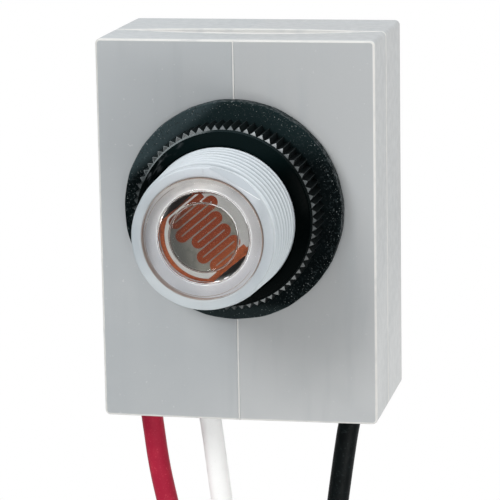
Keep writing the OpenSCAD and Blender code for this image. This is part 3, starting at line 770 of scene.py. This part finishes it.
bm = bmesh.new()
draw_track(bm)
clean(bm)
add_piece("sensor_track", bm, rust_film, "housing", ["cell_track"])

# %% [markdown]
# Under the track lie two thin plates of the disc's outline, a circle with two flats. Rust film
# reaches to the edge, and a smaller metal film lies on it.

# %% Sensor films
CELL_BACK = -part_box("cell_electrodes")[1].y
METAL_R = 5.85
METAL_FLATS = (5.3, 4.55)
METAL_SHIFT = Vector((0.3, 0, 0.05)) * MM
lying = Matrix.Rotation(math.pi / 2, 4, "X")


def cell_plate(radius, flats, back, front):
    """A disc with two flats, of the cell's outline, between two distances forward."""
    bm = bmesh.new()
    bmesh.ops.create_circle(bm, cap_ends=True, radius=radius * MM, segments=96, matrix=lying)
    for side, flat in zip((-1, 1), flats):
        slice_at(bm, ACROSS * side * flat * MM, ACROSS * side, clear_outer=True)
    bmesh.ops.translate(bm, verts=bm.verts[:], vec=AXIS * back)
    thicken(bm, front - back)
    clean(bm)
    return bm


middle = (CELL_BACK + CELL_FACE - FILM) / 2
bm = cell_plate(CELL_R, (CELL_FLAT, CELL_FLAT), CELL_BACK, middle)
add_piece("sensor_film", bm, rust_film, "housing")
bm = cell_plate(METAL_R, METAL_FLATS, middle, CELL_FACE - FILM)
bmesh.ops.translate(bm, verts=bm.verts[:], vec=METAL_SHIFT)
add_piece("sensor_metal", bm, metal_film, "housing", ["cell_electrodes"])

# %% [markdown]
# The gasket is a ring of black rubber, cut a little unevenly and dusty from handling. The ring is turned from
# a rounded profile, its outline is moved by a fraction of a millimetre, and dust is pale specks that thicken
# towards the outer edge. A painted sheen lies on its top and upper left, painted light at its bottom edge,
# and the pale band round its side is part dust and part painted highlight.

# %% Gasket
GASKET_LOW, GASKET_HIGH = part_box("gasket")
GASKET_R = GASKET_HIGH.x / MM
GASKET_FRONT = -GASKET_LOW.y / MM
GASKET_BACK = -GASKET_HIGH.y / MM
GASKET_HOLE_R = 10.6
GASKET_ROUND = 0.25
UNEVEN = 0.07

rubber = new_finish("dusty_rubber_painted_sheen", (0.0014, 0.0032, 0.0036), 0.5, IOR=1.08)
lay_grain(rubber, 4, 4, 0.42, 0.75, (0.004, 0.0072, 0.008))
# Painted sheen on the top and the upper left, and painted light at the bottom edge.
lay_sides(rubber, [
    ((0, 0, 1), 6, 12, (0.0085, 0.0175, 0.019)),
    ((-0.64, 0, 0.77), 12.2, 14, (0.035, 0.053, 0.058)),
    ((0, 0, -1), 12.8, 14.4, (0.016, 0.024, 0.025)),
])
near_rim = spread(rubber, off_axis(rubber), 13, 15.4, 0.2, 1)
fine_dust = spread(rubber, grain(rubber, 0.25, 3), 0.54, 0.68)
lay_colour(rubber, both(rubber, near_rim, fine_dust), (0.022, 0.03, 0.032))
pale_dust = spread(rubber, grain(rubber, 0.2, 1), 0.68, 0.75)
lay_colour(rubber, both(rubber, near_rim, pale_dust), (0.2, 0.22, 0.22))
# A pale band round the side is part dust and part painted highlight.
on_side = spread(rubber, off_axis(rubber), GASKET_R - 0.2, GASKET_R - 0.05)
side_dust_and_highlight = spread(rubber, grain(rubber, 0.5, 3), 0.4, 0.7)
lay_colour(rubber, both(rubber, on_side, side_dust_and_highlight), (0.1, 0.112, 0.116))
set_roughness(rubber, spread(rubber, grain(rubber, 0.8), 0.3, 0.7, 0.42, 0.7))
add_relief(rubber, grain(rubber, 0.4), 0.03)

bm = bmesh.new()
geometry = profile_edges(bm, [
    (GASKET_HOLE_R, GASKET_BACK), (GASKET_R - UNEVEN, GASKET_BACK), (GASKET_R - UNEVEN, GASKET_FRONT),
    (GASKET_HOLE_R, GASKET_FRONT),
], closed=True)
geometry = round_profile(bm, geometry, (1, 2), GASKET_ROUND)
turn_profile(bm, geometry)
for vert in bm.verts:
    angle = math.atan2(vert.co.z, vert.co.x)
    wave = math.sin(5 * angle + 1) + math.sin(11 * angle + 2) + math.sin(23 * angle)
    radius = math.hypot(vert.co.x, vert.co.z)
    share = max(0, (radius / MM - GASKET_HOLE_R) / (GASKET_R - GASKET_HOLE_R))
    grown = 1 + share * wave / 3 * UNEVEN * MM / radius
    vert.co.x *= grown
    vert.co.z *= grown
clean(bm)
add_piece("rubber_gasket", bm, rubber, "gasket", ["gasket"], crease=50)

# %% [markdown]
# The lock nut is glossy black plastic with a knurl that handling has worn. One black can't show that: the hub
# mirrors the room, the ribs are duller, and their front ends and tips are rubbed grey. Painted light lies on
# top of that: the hub is painted lighter on top with painted reflection patches at its upper left, the rubbed
# tooth fronts carry painted highlights, brightest at the top and upper right, and the worn borders round them
# and the hub's foot carry painted light, brightest at the upper left. So the nut gets five finishes.

# %% Nut finishes
nut_black = new_finish("gloss_black", (0.0004, 0.0013, 0.0013), 0.25, IOR=1.06)
# Painted light on the top of the hub, and a painted reflection in patches at its upper left.
lay_sides(nut_black, [((0, 0, 1), 6, 10.5, (0.0025, 0.0062, 0.0065))])
painted_reflection_patches = spread(nut_black, grain(nut_black, 1.1, 4, (0.6, 1, 0.6)), 0.5, 0.72)
upper_left = spread(nut_black, reach(nut_black, (-0.73, 0, 0.68)), 10.6, 11.6)
lay_colour(nut_black, both(nut_black, upper_left, painted_reflection_patches), (0.05, 0.056, 0.06))
set_roughness(nut_black, spread(nut_black, grain(nut_black, 0.7), 0.3, 0.7, 0.16, 0.32))

rib_black = new_finish("rib_black", (0.004, 0.0055, 0.0058), 0.3, IOR=1.35)
lay_grain(rib_black, 0.3, 3, 0.6, 0.75, (0.02, 0.025, 0.026))

rubbed_black_painted_highlight = new_finish("rubbed_black_painted_highlight", (0.038, 0.046, 0.048), 0.32)
# Painted highlights: a little lighter on the right, brighter at the top and upper right, and at the lower
# right.
lay_sides(rubbed_black_painted_highlight, [
    ((1, 0, 0), 9, 12, (0.05, 0.06, 0.062)),
    ((0.2, 0, 0.98), 9.5, 12.3, (0.12, 0.138, 0.147)),
    ((0.45, 0, 0.89), 12, 12.7, (0.4, 0.42, 0.43)),
    ((0.55, 0, -0.83), 11, 12.5, (0.2, 0.215, 0.215)),
])
lay_grain(rubbed_black_painted_highlight, 0.8, 3, 0.5, 0.8, (0.1, 0.11, 0.115), 0.6)

worn_black_painted_light = new_finish("worn_black_painted_light", (0.002, 0.0042, 0.0042), 0.4, IOR=1.14)
# Painted light on the top and a painted highlight at the upper left.
lay_sides(worn_black_painted_light, [
    ((0, 0, 1), 7, 12, (0.014, 0.023, 0.025)),
    ((-0.6, 0, 0.8), 10.4, 12.2, (0.23, 0.26, 0.265)),
])
# The ribs' tips are a little paler and glossier, partly a painted highlight.
crest_black = new_finish("crest_black", (0.03, 0.037, 0.038), 0.35, IOR=1.45)
print("nut finishes ready")

# %% [markdown]
# The nut starts as a circle whose every second vertex is pulled in to a valley, and is extruded ring by ring:
# along the ribs, in over their front ends, up the tapered hub and back down the bore. The front end of each
# rib is then inset to leave a rubbed triangle with painted highlights inside a border with painted light, and
# the ribs' tips are bevelled.

# %% Lock nut
NUT_LOW, NUT_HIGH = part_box("lock_nut")
NUT_BACK = -NUT_HIGH.y / MM
NUT_FRONT = -NUT_LOW.y / MM
KNURL_R = NUT_HIGH.x / MM
KNURL_COUNT = 72
VALLEY_R = 12.45
SHOULDER_R = 12.33
HUB_R = 12.18
HUB_EDGE_R = 10.9
NUT_HOLE_R = 10.48
KNURL_FRONT = 7.8
HUB_FOOT = 8.4
KNURL_FALL = 0.2
EDGE = 0.12
TOOTH_EDGE = 0.06
RIB_TIP_W = 0.05
TIP_NEAR = 0.1
CREST_NEAR = 0.02
GLOSS, RUBBED_PAINTED_HIGHLIGHT, WORN_PAINTED_LIGHT, RIBS, RIB_TIP = range(5)


def round_edges(bm, edges, radius, segments, finish=0):
    """Bevels some edges and gives the new faces a finish."""
    rounded = bmesh.ops.bevel(
        bm, geom=edges, offset=radius, offset_type="OFFSET", affect="EDGES", segments=segments,
        profile=0.5, material=-1,
    )["faces"]
    for face in rounded:
        face.material_index = finish


def next_ring(bm, ring, finish, radius, forward, fall=0.0):
    """Extrudes a ring of edges to a radius, or straight on, with its ribs' tips lying lower."""
    drawn = bmesh.ops.extrude_edge_only(bm, edges=ring)["geom"]
    ends = only(BMVert, drawn)
    for vert in ends:
        place = Vector((vert.co.x, 0, vert.co.z))
        is_tip = place.length > (KNURL_R - TIP_NEAR) * MM
        vert.co = place if radius is None else place.normalized() * radius * MM
        vert.co.y = -(forward - (fall if is_tip else 0)) * MM
    for face in only(BMFace, drawn):
        face.material_index = finish
    return [edge for edge in only(BMEdge, drawn) if set(edge.verts) <= set(ends)]


bm = bmesh.new()
bmesh.ops.create_circle(bm, radius=KNURL_R * MM, segments=2 * KNURL_COUNT, matrix=lying)
bm.verts.ensure_lookup_table()
for i, vert in enumerate(bm.verts):
    if i % 2:
        vert.co *= VALLEY_R / KNURL_R
bmesh.ops.translate(bm, verts=bm.verts[:], vec=AXIS * NUT_BACK * MM)
back_ring = bm.edges[:]
ring = next_ring(bm, back_ring, RIBS, None, KNURL_FRONT, KNURL_FALL)
for finish, radius, forward in (
    (RUBBED_PAINTED_HIGHLIGHT, VALLEY_R - 0.001, KNURL_FRONT), (WORN_PAINTED_LIGHT, SHOULDER_R, KNURL_FRONT),
    (WORN_PAINTED_LIGHT, HUB_R + EDGE, HUB_FOOT - EDGE), (GLOSS, HUB_R, HUB_FOOT), (GLOSS, HUB_R - EDGE, HUB_FOOT + EDGE),
    (GLOSS, HUB_EDGE_R + EDGE / 2, NUT_FRONT - EDGE), (GLOSS, HUB_EDGE_R - EDGE, NUT_FRONT),
    (GLOSS, NUT_HOLE_R + EDGE, NUT_FRONT), (GLOSS, NUT_HOLE_R, NUT_FRONT - EDGE),
    (GLOSS, NUT_HOLE_R, NUT_BACK),
):
    ring = next_ring(bm, ring, finish, radius, forward)
bmesh.ops.bridge_loops(bm, edges=ring + back_ring)
clean(bm)
halves = [e for e in bm.edges if all(f.material_index == RUBBED_PAINTED_HIGHLIGHT for f in e.link_faces)]
bmesh.ops.dissolve_edges(bm, edges=halves)
crests = [
    e for e in bm.edges
    if e.calc_length() > MM and all(math.hypot(v.co.x, v.co.z) > (KNURL_R - CREST_NEAR) * MM for v in e.verts)
]
round_edges(bm, crests, RIB_TIP_W * MM, 1, RIB_TIP)
tooth_fronts = [f for f in bm.faces if f.material_index == RUBBED_PAINTED_HIGHLIGHT]
for face in inset_each(bm, tooth_fronts, TOOTH_EDGE):
    face.material_index = WORN_PAINTED_LIGHT
print("tooth fronts:", len(tooth_fronts))
nut_finishes = [nut_black, rubbed_black_painted_highlight, worn_black_painted_light, rib_black, crest_black]
add_piece("knurled_nut", bm, nut_finishes, "nut", ["lock_nut"], crease=30)

# %% [markdown]
# The box is two shells of grey moulded plastic, satin and slightly cloudy. Moulding leaves tiny ripples along
# the flow, so the finish has faint upright streaks and a fine grain. Painted light makes the right half a
# little lighter and the lower right and upper left lighter still. The edges, the ridge down the front and the
# rear cover's front rim get a pale finish of their own, a painted highlight.

# %% Housing plastic
grey_plastic = new_finish("grey_plastic", (0.41, 0.433, 0.447), 0.38, IOR=1.5)
# Painted light: a little lighter on the right half, lighter still at the lower right and the upper left.
lay_sides(grey_plastic, [
    ((1, 0, 0), -0.1, 0.2, (0.435, 0.45, 0.458)),
    ((0.55, 0, -0.83), 12, 36, (0.53, 0.545, 0.55)),
    ((-0.6, 0, 0.8), 14, 34, (0.47, 0.495, 0.51)),
])
lay_grain(grey_plastic, 9, 2, 0.4, 0.75, (0.44, 0.46, 0.47), 0.6)
streaks = spread(grey_plastic, grain(grey_plastic, 3, 3, (1, 1, 0.12)), 0.5, 0.8, 0, 0.5)
lay_colour(grey_plastic, streaks, (0.39, 0.413, 0.428))
lay_grain(grey_plastic, 0.5, 1, 0.74, 0.8, (0.6, 0.61, 0.61), 0.5)
set_roughness(grey_plastic, spread(grey_plastic, grain(grey_plastic, 1.2), 0.3, 0.7, 0.33, 0.45))
add_relief(grey_plastic, grain(grey_plastic, 0.3), 0.008)
# The pale finish is a painted highlight along edges and painted light on a shaded rim.
pale_painted_light = new_finish("pale_painted_light", (0.7, 0.695, 0.675), 0.4, IOR=1.5)
lay_grain(pale_painted_light, 2.5, 3, 0.45, 0.75, (0.6, 0.605, 0.6))
print("housing plastic ready")

# %% [markdown]
# Each shell starts as a cube. Its long corners and its rims are bevelled, and slices across it give
# the top wall enough vertices to bend.

# %% Blocks for the shells
SHELL_LOW, SHELL_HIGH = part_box("front_shell")
HALF_WIDTH = SHELL_HIGH.x
TOP = SHELL_HIGH.z
BOTTOM = SHELL_LOW.z
CORNER_R = 0.7 * MM
BEND_HALF = HALF_WIDTH - 2 * CORNER_R
# Index of the pale finish, painted light on edges, the ridge and the rear cover's front rim.
PALE_PAINTED_LIGHT = 1
NEAR = 0.01 * MM


def rim_edges(bm, depth):
    return [e for e in bm.edges if all(abs(v.co.y - depth) < NEAR for v in e.verts)]


def round_block(bm, front, back, front_radius, back_radius, back_finish):
    """Rounds the four long corners first, then the rims at both ends."""
    long_edges = [e for e in bm.edges if abs(e.verts[0].co.y - e.verts[1].co.y) > NEAR]
    round_edges(bm, long_edges, CORNER_R, 6)
    # The front rims get the pale finish, a painted highlight.
    round_edges(bm, rim_edges(bm, front), front_radius, 4, PALE_PAINTED_LIGHT)
    round_edges(bm, rim_edges(bm, back), back_radius, 4, back_finish)


def slice_columns(bm, places):
    for x in places:
        slice_at(bm, (x, 0, 0), (1, 0, 0))


def bend_top(bm, height, front, back):
    """Lifts the top wall by the height at the back depth, in a flat arch, and by nothing at the front."""
    for vert in bm.verts:
        if vert.co.z > TOP - CORNER_R:
            arch = max(0, 1 - (vert.co.x / BEND_HALF) ** 2)
            vert.co.z += height * arch * (vert.co.y - front) / (back - front)


def block(inset, front, back):
    """A box inside the housing's outline, set in from its sides."""
    bm = bmesh.new()
    low = Vector((-HALF_WIDTH + inset, front, BOTTOM + inset))
    high = Vector((HALF_WIDTH - inset, back, TOP - inset))
    place = Matrix.Translation((low + high) / 2) @ Matrix.Diagonal((*(high - low), 1))
    bmesh.ops.create_cube(bm, size=1, matrix=place)
    return bm


print("the box is", round(2 * HALF_WIDTH / MM, 1), "mm wide")

# %% [markdown]
# A smaller block hollows a shell with a Boolean cut, which keeps the wall even where an inset would
# trip over the small bevels. Holes are cut by rods in the same way.

# %% Cutting the shells
SEAM = SHELL_HIGH.y
WALL = 2 * MM
LEAD_CLEAR = 0.1 * MM


def add_rod(bm, start, end, radius, sides=48):
    """A capped rod between two points."""
    way = end - start
    place = Matrix.Translation((start + end) / 2) @ way.to_track_quat("Z", "Y").to_matrix().to_4x4()
    bmesh.ops.create_cone(
        bm, cap_ends=True, segments=sides, radius1=radius, radius2=radius, depth=way.length, matrix=place
    )


def cut_away(bm, cutter):
    """Subtracts one closed bmesh from another and returns the result."""
    pair = []
    for name, source in (("block", bm), ("cutter", cutter)):
        mesh = bpy.data.meshes.new(name)
        source.to_mesh(mesh)
        source.free()
        pair.append(bpy.data.objects.new(name, mesh))
        bpy.context.scene.collection.objects.link(pair[-1])
    boolean = pair[0].modifiers.new("cut", "BOOLEAN")
    boolean.operation = "DIFFERENCE"
    boolean.object = pair[1]
    evaluated = pair[0].evaluated_get(bpy.context.evaluated_depsgraph_get())
    result = bmesh.new()
    result.from_mesh(evaluated.to_mesh())
    for thing in pair:
        bpy.data.meshes.remove(thing.data)
    return result


def seam_holes():
    """The three rods that cut the leads' holes, half in each shell."""
    cutter = bmesh.new()
    for exit_x in LEAD_EXIT.values():
        foot = Vector((exit_x * MM, SEAM, BOTTOM - WALL))
        add_rod(cutter, foot, foot + Vector((0, 0, 3 * WALL)), LEAD_DIAMETER / 2 + LEAD_CLEAR)
    return cutter


print("the seam lies", round(SEAM / MM, 2), "mm behind the front")

# %% [markdown]
# The front shell has a low ridge down its middle, where the mould was split, with a shallow groove
# beside it. Its face leans back a little towards the sides, and its top edge sinks at the seam,
# where a thin flash of plastic from the weld stands up. Two ribs inside hold the nipple's flange.

# %% Front shell
COLUMNS = [x * MM for x in (-17, -15, -12, -9, -6, -3, 0, 3, 6, 9, 12, 15, 17)]
FRONT_DRAFT = 0.35 * MM
FRONT_EDGE = 0.3 * MM
SEAM_EDGE = 0.22 * MM
TOP_SINK = 0.5 * MM
LINE_HALF = 0.1 * MM
LINE_FOOT = 0.17 * MM
LINE_HEIGHT = 0.1 * MM
GROOVE_MIDDLE = 0.24 * MM
GROOVE_EDGE = 0.4 * MM
GROOVE_DEPTH = 0.07 * MM
FLASH = 0.25 * MM
LIP_WIDTH = 1.05 * MM
LIP_DEPTH = 1.75 * MM
NIPPLE_HOLE_R = 10.6 * MM
FLANGE_RIB = Vector((1.5, 3, 14)) * MM
FLANGE_CLEAR = 0.1 * MM

bm = block(0, FRONT_DRAFT, SEAM)
# Both rims of the front shell get the pale finish, a painted highlight.
round_block(bm, FRONT_DRAFT, SEAM, FRONT_EDGE, SEAM_EDGE, PALE_PAINTED_LIGHT)
slice_columns(bm, COLUMNS + [-GROOVE_EDGE, -GROOVE_MIDDLE, -LINE_HALF, LINE_HALF, LINE_FOOT])
bend_top(bm, -TOP_SINK, FRONT_DRAFT + FRONT_EDGE, SEAM)
for vert in bm.verts:
    if vert.co.y < FRONT_DRAFT + FRONT_EDGE - NEAR:
        vert.co.y -= FRONT_DRAFT * (1 - abs(vert.co.x) / HALF_WIDTH)
        if abs(vert.co.x) < LINE_HALF + NEAR:
            vert.co.y -= LINE_HEIGHT
        elif abs(vert.co.x + GROOVE_MIDDLE) < NEAR:
            vert.co.y += GROOVE_DEPTH
    elif SEAM - SEAM_EDGE + NEAR < vert.co.y < SEAM - NEAR and vert.co.z > TOP - TOP_SINK - SEAM_EDGE:
        vert.co.z += FLASH * max(0, 1 - (vert.co.x / BEND_HALF) ** 2)
# The ridge gets the pale finish, a painted highlight.
for face in bm.faces:
    middle = face.calc_center_median()
    if abs(middle.x) < LINE_HALF and middle.y < FRONT_DRAFT:
        face.material_index = PALE_PAINTED_LIGHT
clean(bm)
bm = cut_away(bm, block(WALL, WALL, SEAM + WALL))
bm = cut_away(bm, block(WALL - LIP_WIDTH, SEAM - LIP_DEPTH, SEAM + WALL))
cutter = seam_holes()
add_rod(cutter, AXIS * -2 * WALL, AXIS * WALL, NIPPLE_HOLE_R, 96)
bm = cut_away(bm, cutter)
for side in (-1, 1):
    middle = Vector((side * (FLANGE_FLAT + FLANGE_CLEAR + FLANGE_RIB.x / 2), WALL / 2 + FLANGE_RIB.y / 2, 0))
    bmesh.ops.create_cube(bm, size=1, matrix=Matrix.Translation(middle) @ Matrix.Diagonal((*FLANGE_RIB, 1)))
shell_finishes = [grey_plastic, pale_painted_light]
add_piece(
    "grey_front_shell", bm, shell_finishes, "housing", ["front_shell"], crease=30, weighted=True
)

# %% [markdown]
# The rear cover closes the box. Its top edge rises at the seam, so the two edges don't quite meet. A
# thin lip reaches into the front shell, and four posts with pilot holes carry the circuit board.

# %% Rear cover
COVER_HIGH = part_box("rear_cover")[1]
COVER_FRONT = 10.8 * MM
COVER_BACK = COVER_HIGH.y
REAR_EDGE = 0.6 * MM
TOP_RISE = COVER_HIGH.z - TOP
LIP_T = 0.9 * MM
LIP_LEN = 1.7 * MM
POST_R = 2.4 * MM
POST_PILOT_R = 1.15 * MM
BOARD_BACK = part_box("circuit_board")[1].y
SCREWS_LOW, SCREWS_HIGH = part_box("board_screws")
SCREW_HEAD_R = 2 * MM

bm = block(0, COVER_FRONT, COVER_BACK)
round_block(bm, COVER_FRONT, COVER_BACK, SEAM_EDGE, REAR_EDGE, 0)
slice_columns(bm, COLUMNS)
bend_top(bm, TOP_RISE, COVER_BACK - REAR_EDGE, COVER_FRONT)
# The rim's front face gets the pale finish, painted light on a face in shade.
for face in bm.faces:
    if abs(face.calc_center_median().y - COVER_FRONT) < NEAR:
        face.material_index = PALE_PAINTED_LIGHT
clean(bm)
bm = cut_away(bm, block(WALL, COVER_FRONT - WALL, COVER_BACK - WALL))
bm = cut_away(bm, seam_holes())
lip = cut_away(block(WALL - LIP_T, COVER_FRONT - LIP_LEN, COVER_FRONT + WALL / 2), block(WALL, 0, COVER_BACK))
join(bm, cut_away(lip, seam_holes()))
for x in (SCREWS_LOW.x + SCREW_HEAD_R, SCREWS_HIGH.x - SCREW_HEAD_R):
    for z in (SCREWS_LOW.z + SCREW_HEAD_R, SCREWS_HIGH.z - SCREW_HEAD_R):
        post = bmesh.new()
        add_rod(post, Vector((x, BOARD_BACK, z)), Vector((x, COVER_BACK - WALL / 2, z)), POST_R)
        pilot = bmesh.new()
        add_rod(pilot, Vector((x, BOARD_BACK - WALL, z)), Vector((x, BOARD_BACK + 2 * WALL, z)), POST_PILOT_R)
        join(bm, cut_away(post, pilot))
add_piece(
    "grey_rear_cover", bm, shell_finishes, "housing", ["rear_cover"], crease=30, weighted=True
)

# %% [markdown]
# The bare end of each lead is seven copper strands with a slight twist. A small circle is spun
# about the lead with a step along it, which draws one strand, and six such strands lie round a
# straight one.

# %% Copper and the stripped ends
STRAND_COUNT = 6
STRAND_R = 0.23 * MM
TWIST = math.radians(260)
TIP_STEPS = 24


def metal(name, colour, roughness, grain_mm):
    material = new_finish(name, colour, roughness, Metallic=1.0)
    darker = tuple(c * 0.7 for c in colour)
    lay_grain(material, grain_mm, 4, 0.45, 0.75, darker)
    wear = spread(material, grain(material, grain_mm / 2), 0.3, 0.7, roughness - 0.08, roughness + 0.1)
    set_roughness(material, wear)
    return material


copper = metal("copper", (0.72, 0.3, 0.15), 0.3, 0.6)
for colour in leads:
    tip_low, tip_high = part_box(colour + "_lead_tip")
    centre = (tip_low + tip_high) / 2
    top_end = Vector((centre.x, centre.y, tip_high.z))
    length = tip_high.z - tip_low.z
    bm = bmesh.new()
    add_rod(bm, top_end, top_end - Vector((0, 0, length)), STRAND_R, 10)
    for strand in range(STRAND_COUNT):
        turn = Matrix.Rotation(2 * math.pi * strand / STRAND_COUNT, 3, "Z")
        start = top_end + turn @ Vector((2 * STRAND_R, 0, 0))
        circle = bmesh.ops.create_circle(
            bm, cap_ends=True, radius=STRAND_R, segments=10, matrix=Matrix.Translation(start)
        )["verts"]
        disc = [f for f in bm.faces if set(f.verts) == set(circle)]
        bmesh.ops.spin(
            bm, geom=disc, cent=top_end, axis=(0, 0, 1), dvec=(0, 0, -length / TIP_STEPS),
            angle=TWIST, steps=TIP_STEPS,
        )
    clean(bm)
    add_piece(
        colour + "_bare_strands", bm, copper, "housing", [colour + "_lead_tip"], crease=60
    )

# %% [markdown]
# With the stripped ends made, each lead hangs from the box and ends bare.

print("declared", len(leads), "leads")

# %% [markdown]
# The works inside keep their solids: board, brackets, bimetal arm, contacts, heater and solder.
# They show only when a shell is lifted off, so each gets a true finish and nothing more.

# %% Finishes of the works
def matt(name, colour, roughness, grain_mm):
    material = new_finish(name, colour, roughness)
    darker = tuple(c * 0.75 for c in colour)
    lay_grain(material, grain_mm, 4, 0.4, 0.75, darker)
    add_relief(material, grain(material, grain_mm / 3), 0.01)
    return material


WORKS = {
    "cell_ceramic": matt("sintered_ceramic", (0.74, 0.72, 0.67), 0.6, 0.5),
    "tinned_wire": metal("tinned_wire", (0.66, 0.67, 0.69), 0.3, 0.5),
    "board": matt("phenolic_board", (0.17, 0.078, 0.026), 0.45, 1.5),
    "steel": metal("plated_steel", (0.56, 0.57, 0.58), 0.28, 0.8),
    "solder": metal("solder", (0.64, 0.65, 0.66), 0.22, 0.4),
    "brass": metal("brass", (0.62, 0.44, 0.12), 0.3, 0.8),
    "bimetal": metal("bimetal", (0.36, 0.31, 0.24), 0.4, 1.0),
    "contact": metal("silver_contact", (0.68, 0.68, 0.69), 0.18, 0.4),
    "heater": matt("coated_resistor", (0.66, 0.58, 0.43), 0.5, 0.8),
    "copper": copper,
}
for subpart in frame["record"]["subparts"]:
    node = frame["nodes"][subpart["node"]]
    if subpart["material_slot"] in WORKS and not node.hide_render:
        node.data.materials.clear()
        node.data.materials.append(WORKS[subpart["material_slot"]])
        print(subpart["node"], "is finished as", WORKS[subpart["material_slot"]].name)

# %% [markdown]
# The studio starts with a pale floor just under the leads. It is a plain disc that turns transparent
# towards its rim, so that it runs into the white background without an edge.

# %% Floor
FLOOR_DROP = 1 * MM
FLOOR_R = 0.42
FLOOR_FADE = 0.2

floor_finish = bpy.data.materials.new("pale_floor")
floor_finish.use_nodes = True
tree = floor_finish.node_tree
floor_shader = tree.nodes["Principled BSDF"]
floor_shader.inputs["Base Color"].default_value = (0.82, 0.82, 0.82, 1)
floor_shader.inputs["Roughness"].default_value = 0.8
place = tree.nodes.new("ShaderNodeTexCoord")
distance = tree.nodes.new("ShaderNodeVectorMath")
distance.operation = "LENGTH"
fade = tree.nodes.new("ShaderNodeMapRange")
fade.interpolation_type = "SMOOTHSTEP"
fade.inputs["From Min"].default_value = FLOOR_FADE
fade.inputs["From Max"].default_value = FLOOR_R
see_through = tree.nodes.new("ShaderNodeBsdfTransparent")
blend = tree.nodes.new("ShaderNodeMixShader")
tree.links.new(place.outputs["Object"], distance.inputs[0])
tree.links.new(distance.outputs["Value"], fade.inputs["Value"])
tree.links.new(fade.outputs["Result"], blend.inputs["Fac"])
tree.links.new(floor_shader.outputs["BSDF"], blend.inputs[1])
tree.links.new(see_through.outputs["BSDF"], blend.inputs[2])
tree.links.new(blend.outputs["Shader"], tree.nodes["Material Output"].inputs["Surface"])

bm = bmesh.new()
bmesh.ops.create_circle(bm, cap_ends=True, radius=FLOOR_R, segments=96)
floor_mesh = bpy.data.meshes.new("floor")
bm.to_mesh(floor_mesh)
bm.free()
floor_mesh.materials.append(floor_finish)
floor = bpy.data.objects.new("floor", floor_mesh)
floor.location.z = cad_low.z - FLOOR_DROP
bpy.context.scene.collection.objects.link(floor)
print("the floor lies at", round(floor.location.z / MM, 1), "mm")

# %% [markdown]
# The world is white where the camera looks, and nearly so behind the switch, where glass and metal
# mirror it. In front it is dim, so that the black pieces mirror a dark room, as in the photograph.

# %% Background
ROOM_LEVEL = 0.2
SWEEP_LEVEL = 0.85

world = bpy.data.worlds.new("studio")
world.use_nodes = True
bpy.context.scene.world = world
tree = world.node_tree
background = tree.nodes["Background"]
direction = tree.nodes.new("ShaderNodeTexCoord")
parts = tree.nodes.new("ShaderNodeSeparateXYZ")
behind = tree.nodes.new("ShaderNodeMapRange")
behind.interpolation_type = "SMOOTHSTEP"
for socket, value in (("From Min", 0.2), ("From Max", 0.9), ("To Min", ROOM_LEVEL), ("To Max", SWEEP_LEVEL)):
    behind.inputs[socket].default_value = value
ray = tree.nodes.new("ShaderNodeLightPath")
brightest = tree.nodes.new("ShaderNodeMath")
brightest.operation = "MAXIMUM"
tree.links.new(direction.outputs["Generated"], parts.inputs["Vector"])
tree.links.new(parts.outputs["Y"], behind.inputs["Value"])
tree.links.new(behind.outputs["Result"], brightest.inputs[0])
tree.links.new(ray.outputs["Is Camera Ray"], brightest.inputs[1])
tree.links.new(brightest.outputs["Value"], background.inputs["Color"])
print("the room is lit from", ROOM_LEVEL, "in front to", SWEEP_LEVEL, "behind")

# %% [markdown]
# Five soft lamps light the switch at a plain level: the key lamp high on the left, one straight in
# front, a warm fill low on the right, one beside and a large cool one above.

# %% Lamps
def soft_lamp(name, place, size, power, colour):
    """A square lamp that faces the middle of the box."""
    data = bpy.data.lights.new(name, "AREA")
    data.size = size
    data.energy = power
    data.color = colour
    lamp = bpy.data.objects.new(name, data)
    lamp.location = place
    lamp.rotation_euler = (Vector((0, 0, 0)) - lamp.location).to_track_quat("-Z", "Y").to_euler()
    bpy.context.scene.collection.objects.link(lamp)


PLAIN = (1, 1, 1)
WARM = (1, 0.985, 0.96)
COOL = (0.93, 0.97, 1)
soft_lamp("key", Vector((-0.36, -0.62, 0.5)), 0.4, 4.1, PLAIN)
soft_lamp("front", Vector((0.1, -1.0, 0.06)), 0.45, 2.0, PLAIN)
soft_lamp("fill", Vector((0.3, -0.4, -0.4)), 0.4, 3.1, WARM)
soft_lamp("side", Vector((0.75, 0.1, 0.2)), 0.5, 2.9, WARM)
soft_lamp("top", Vector((0.05, 0.05, 0.75)), 0.9, 3.8, COOL)
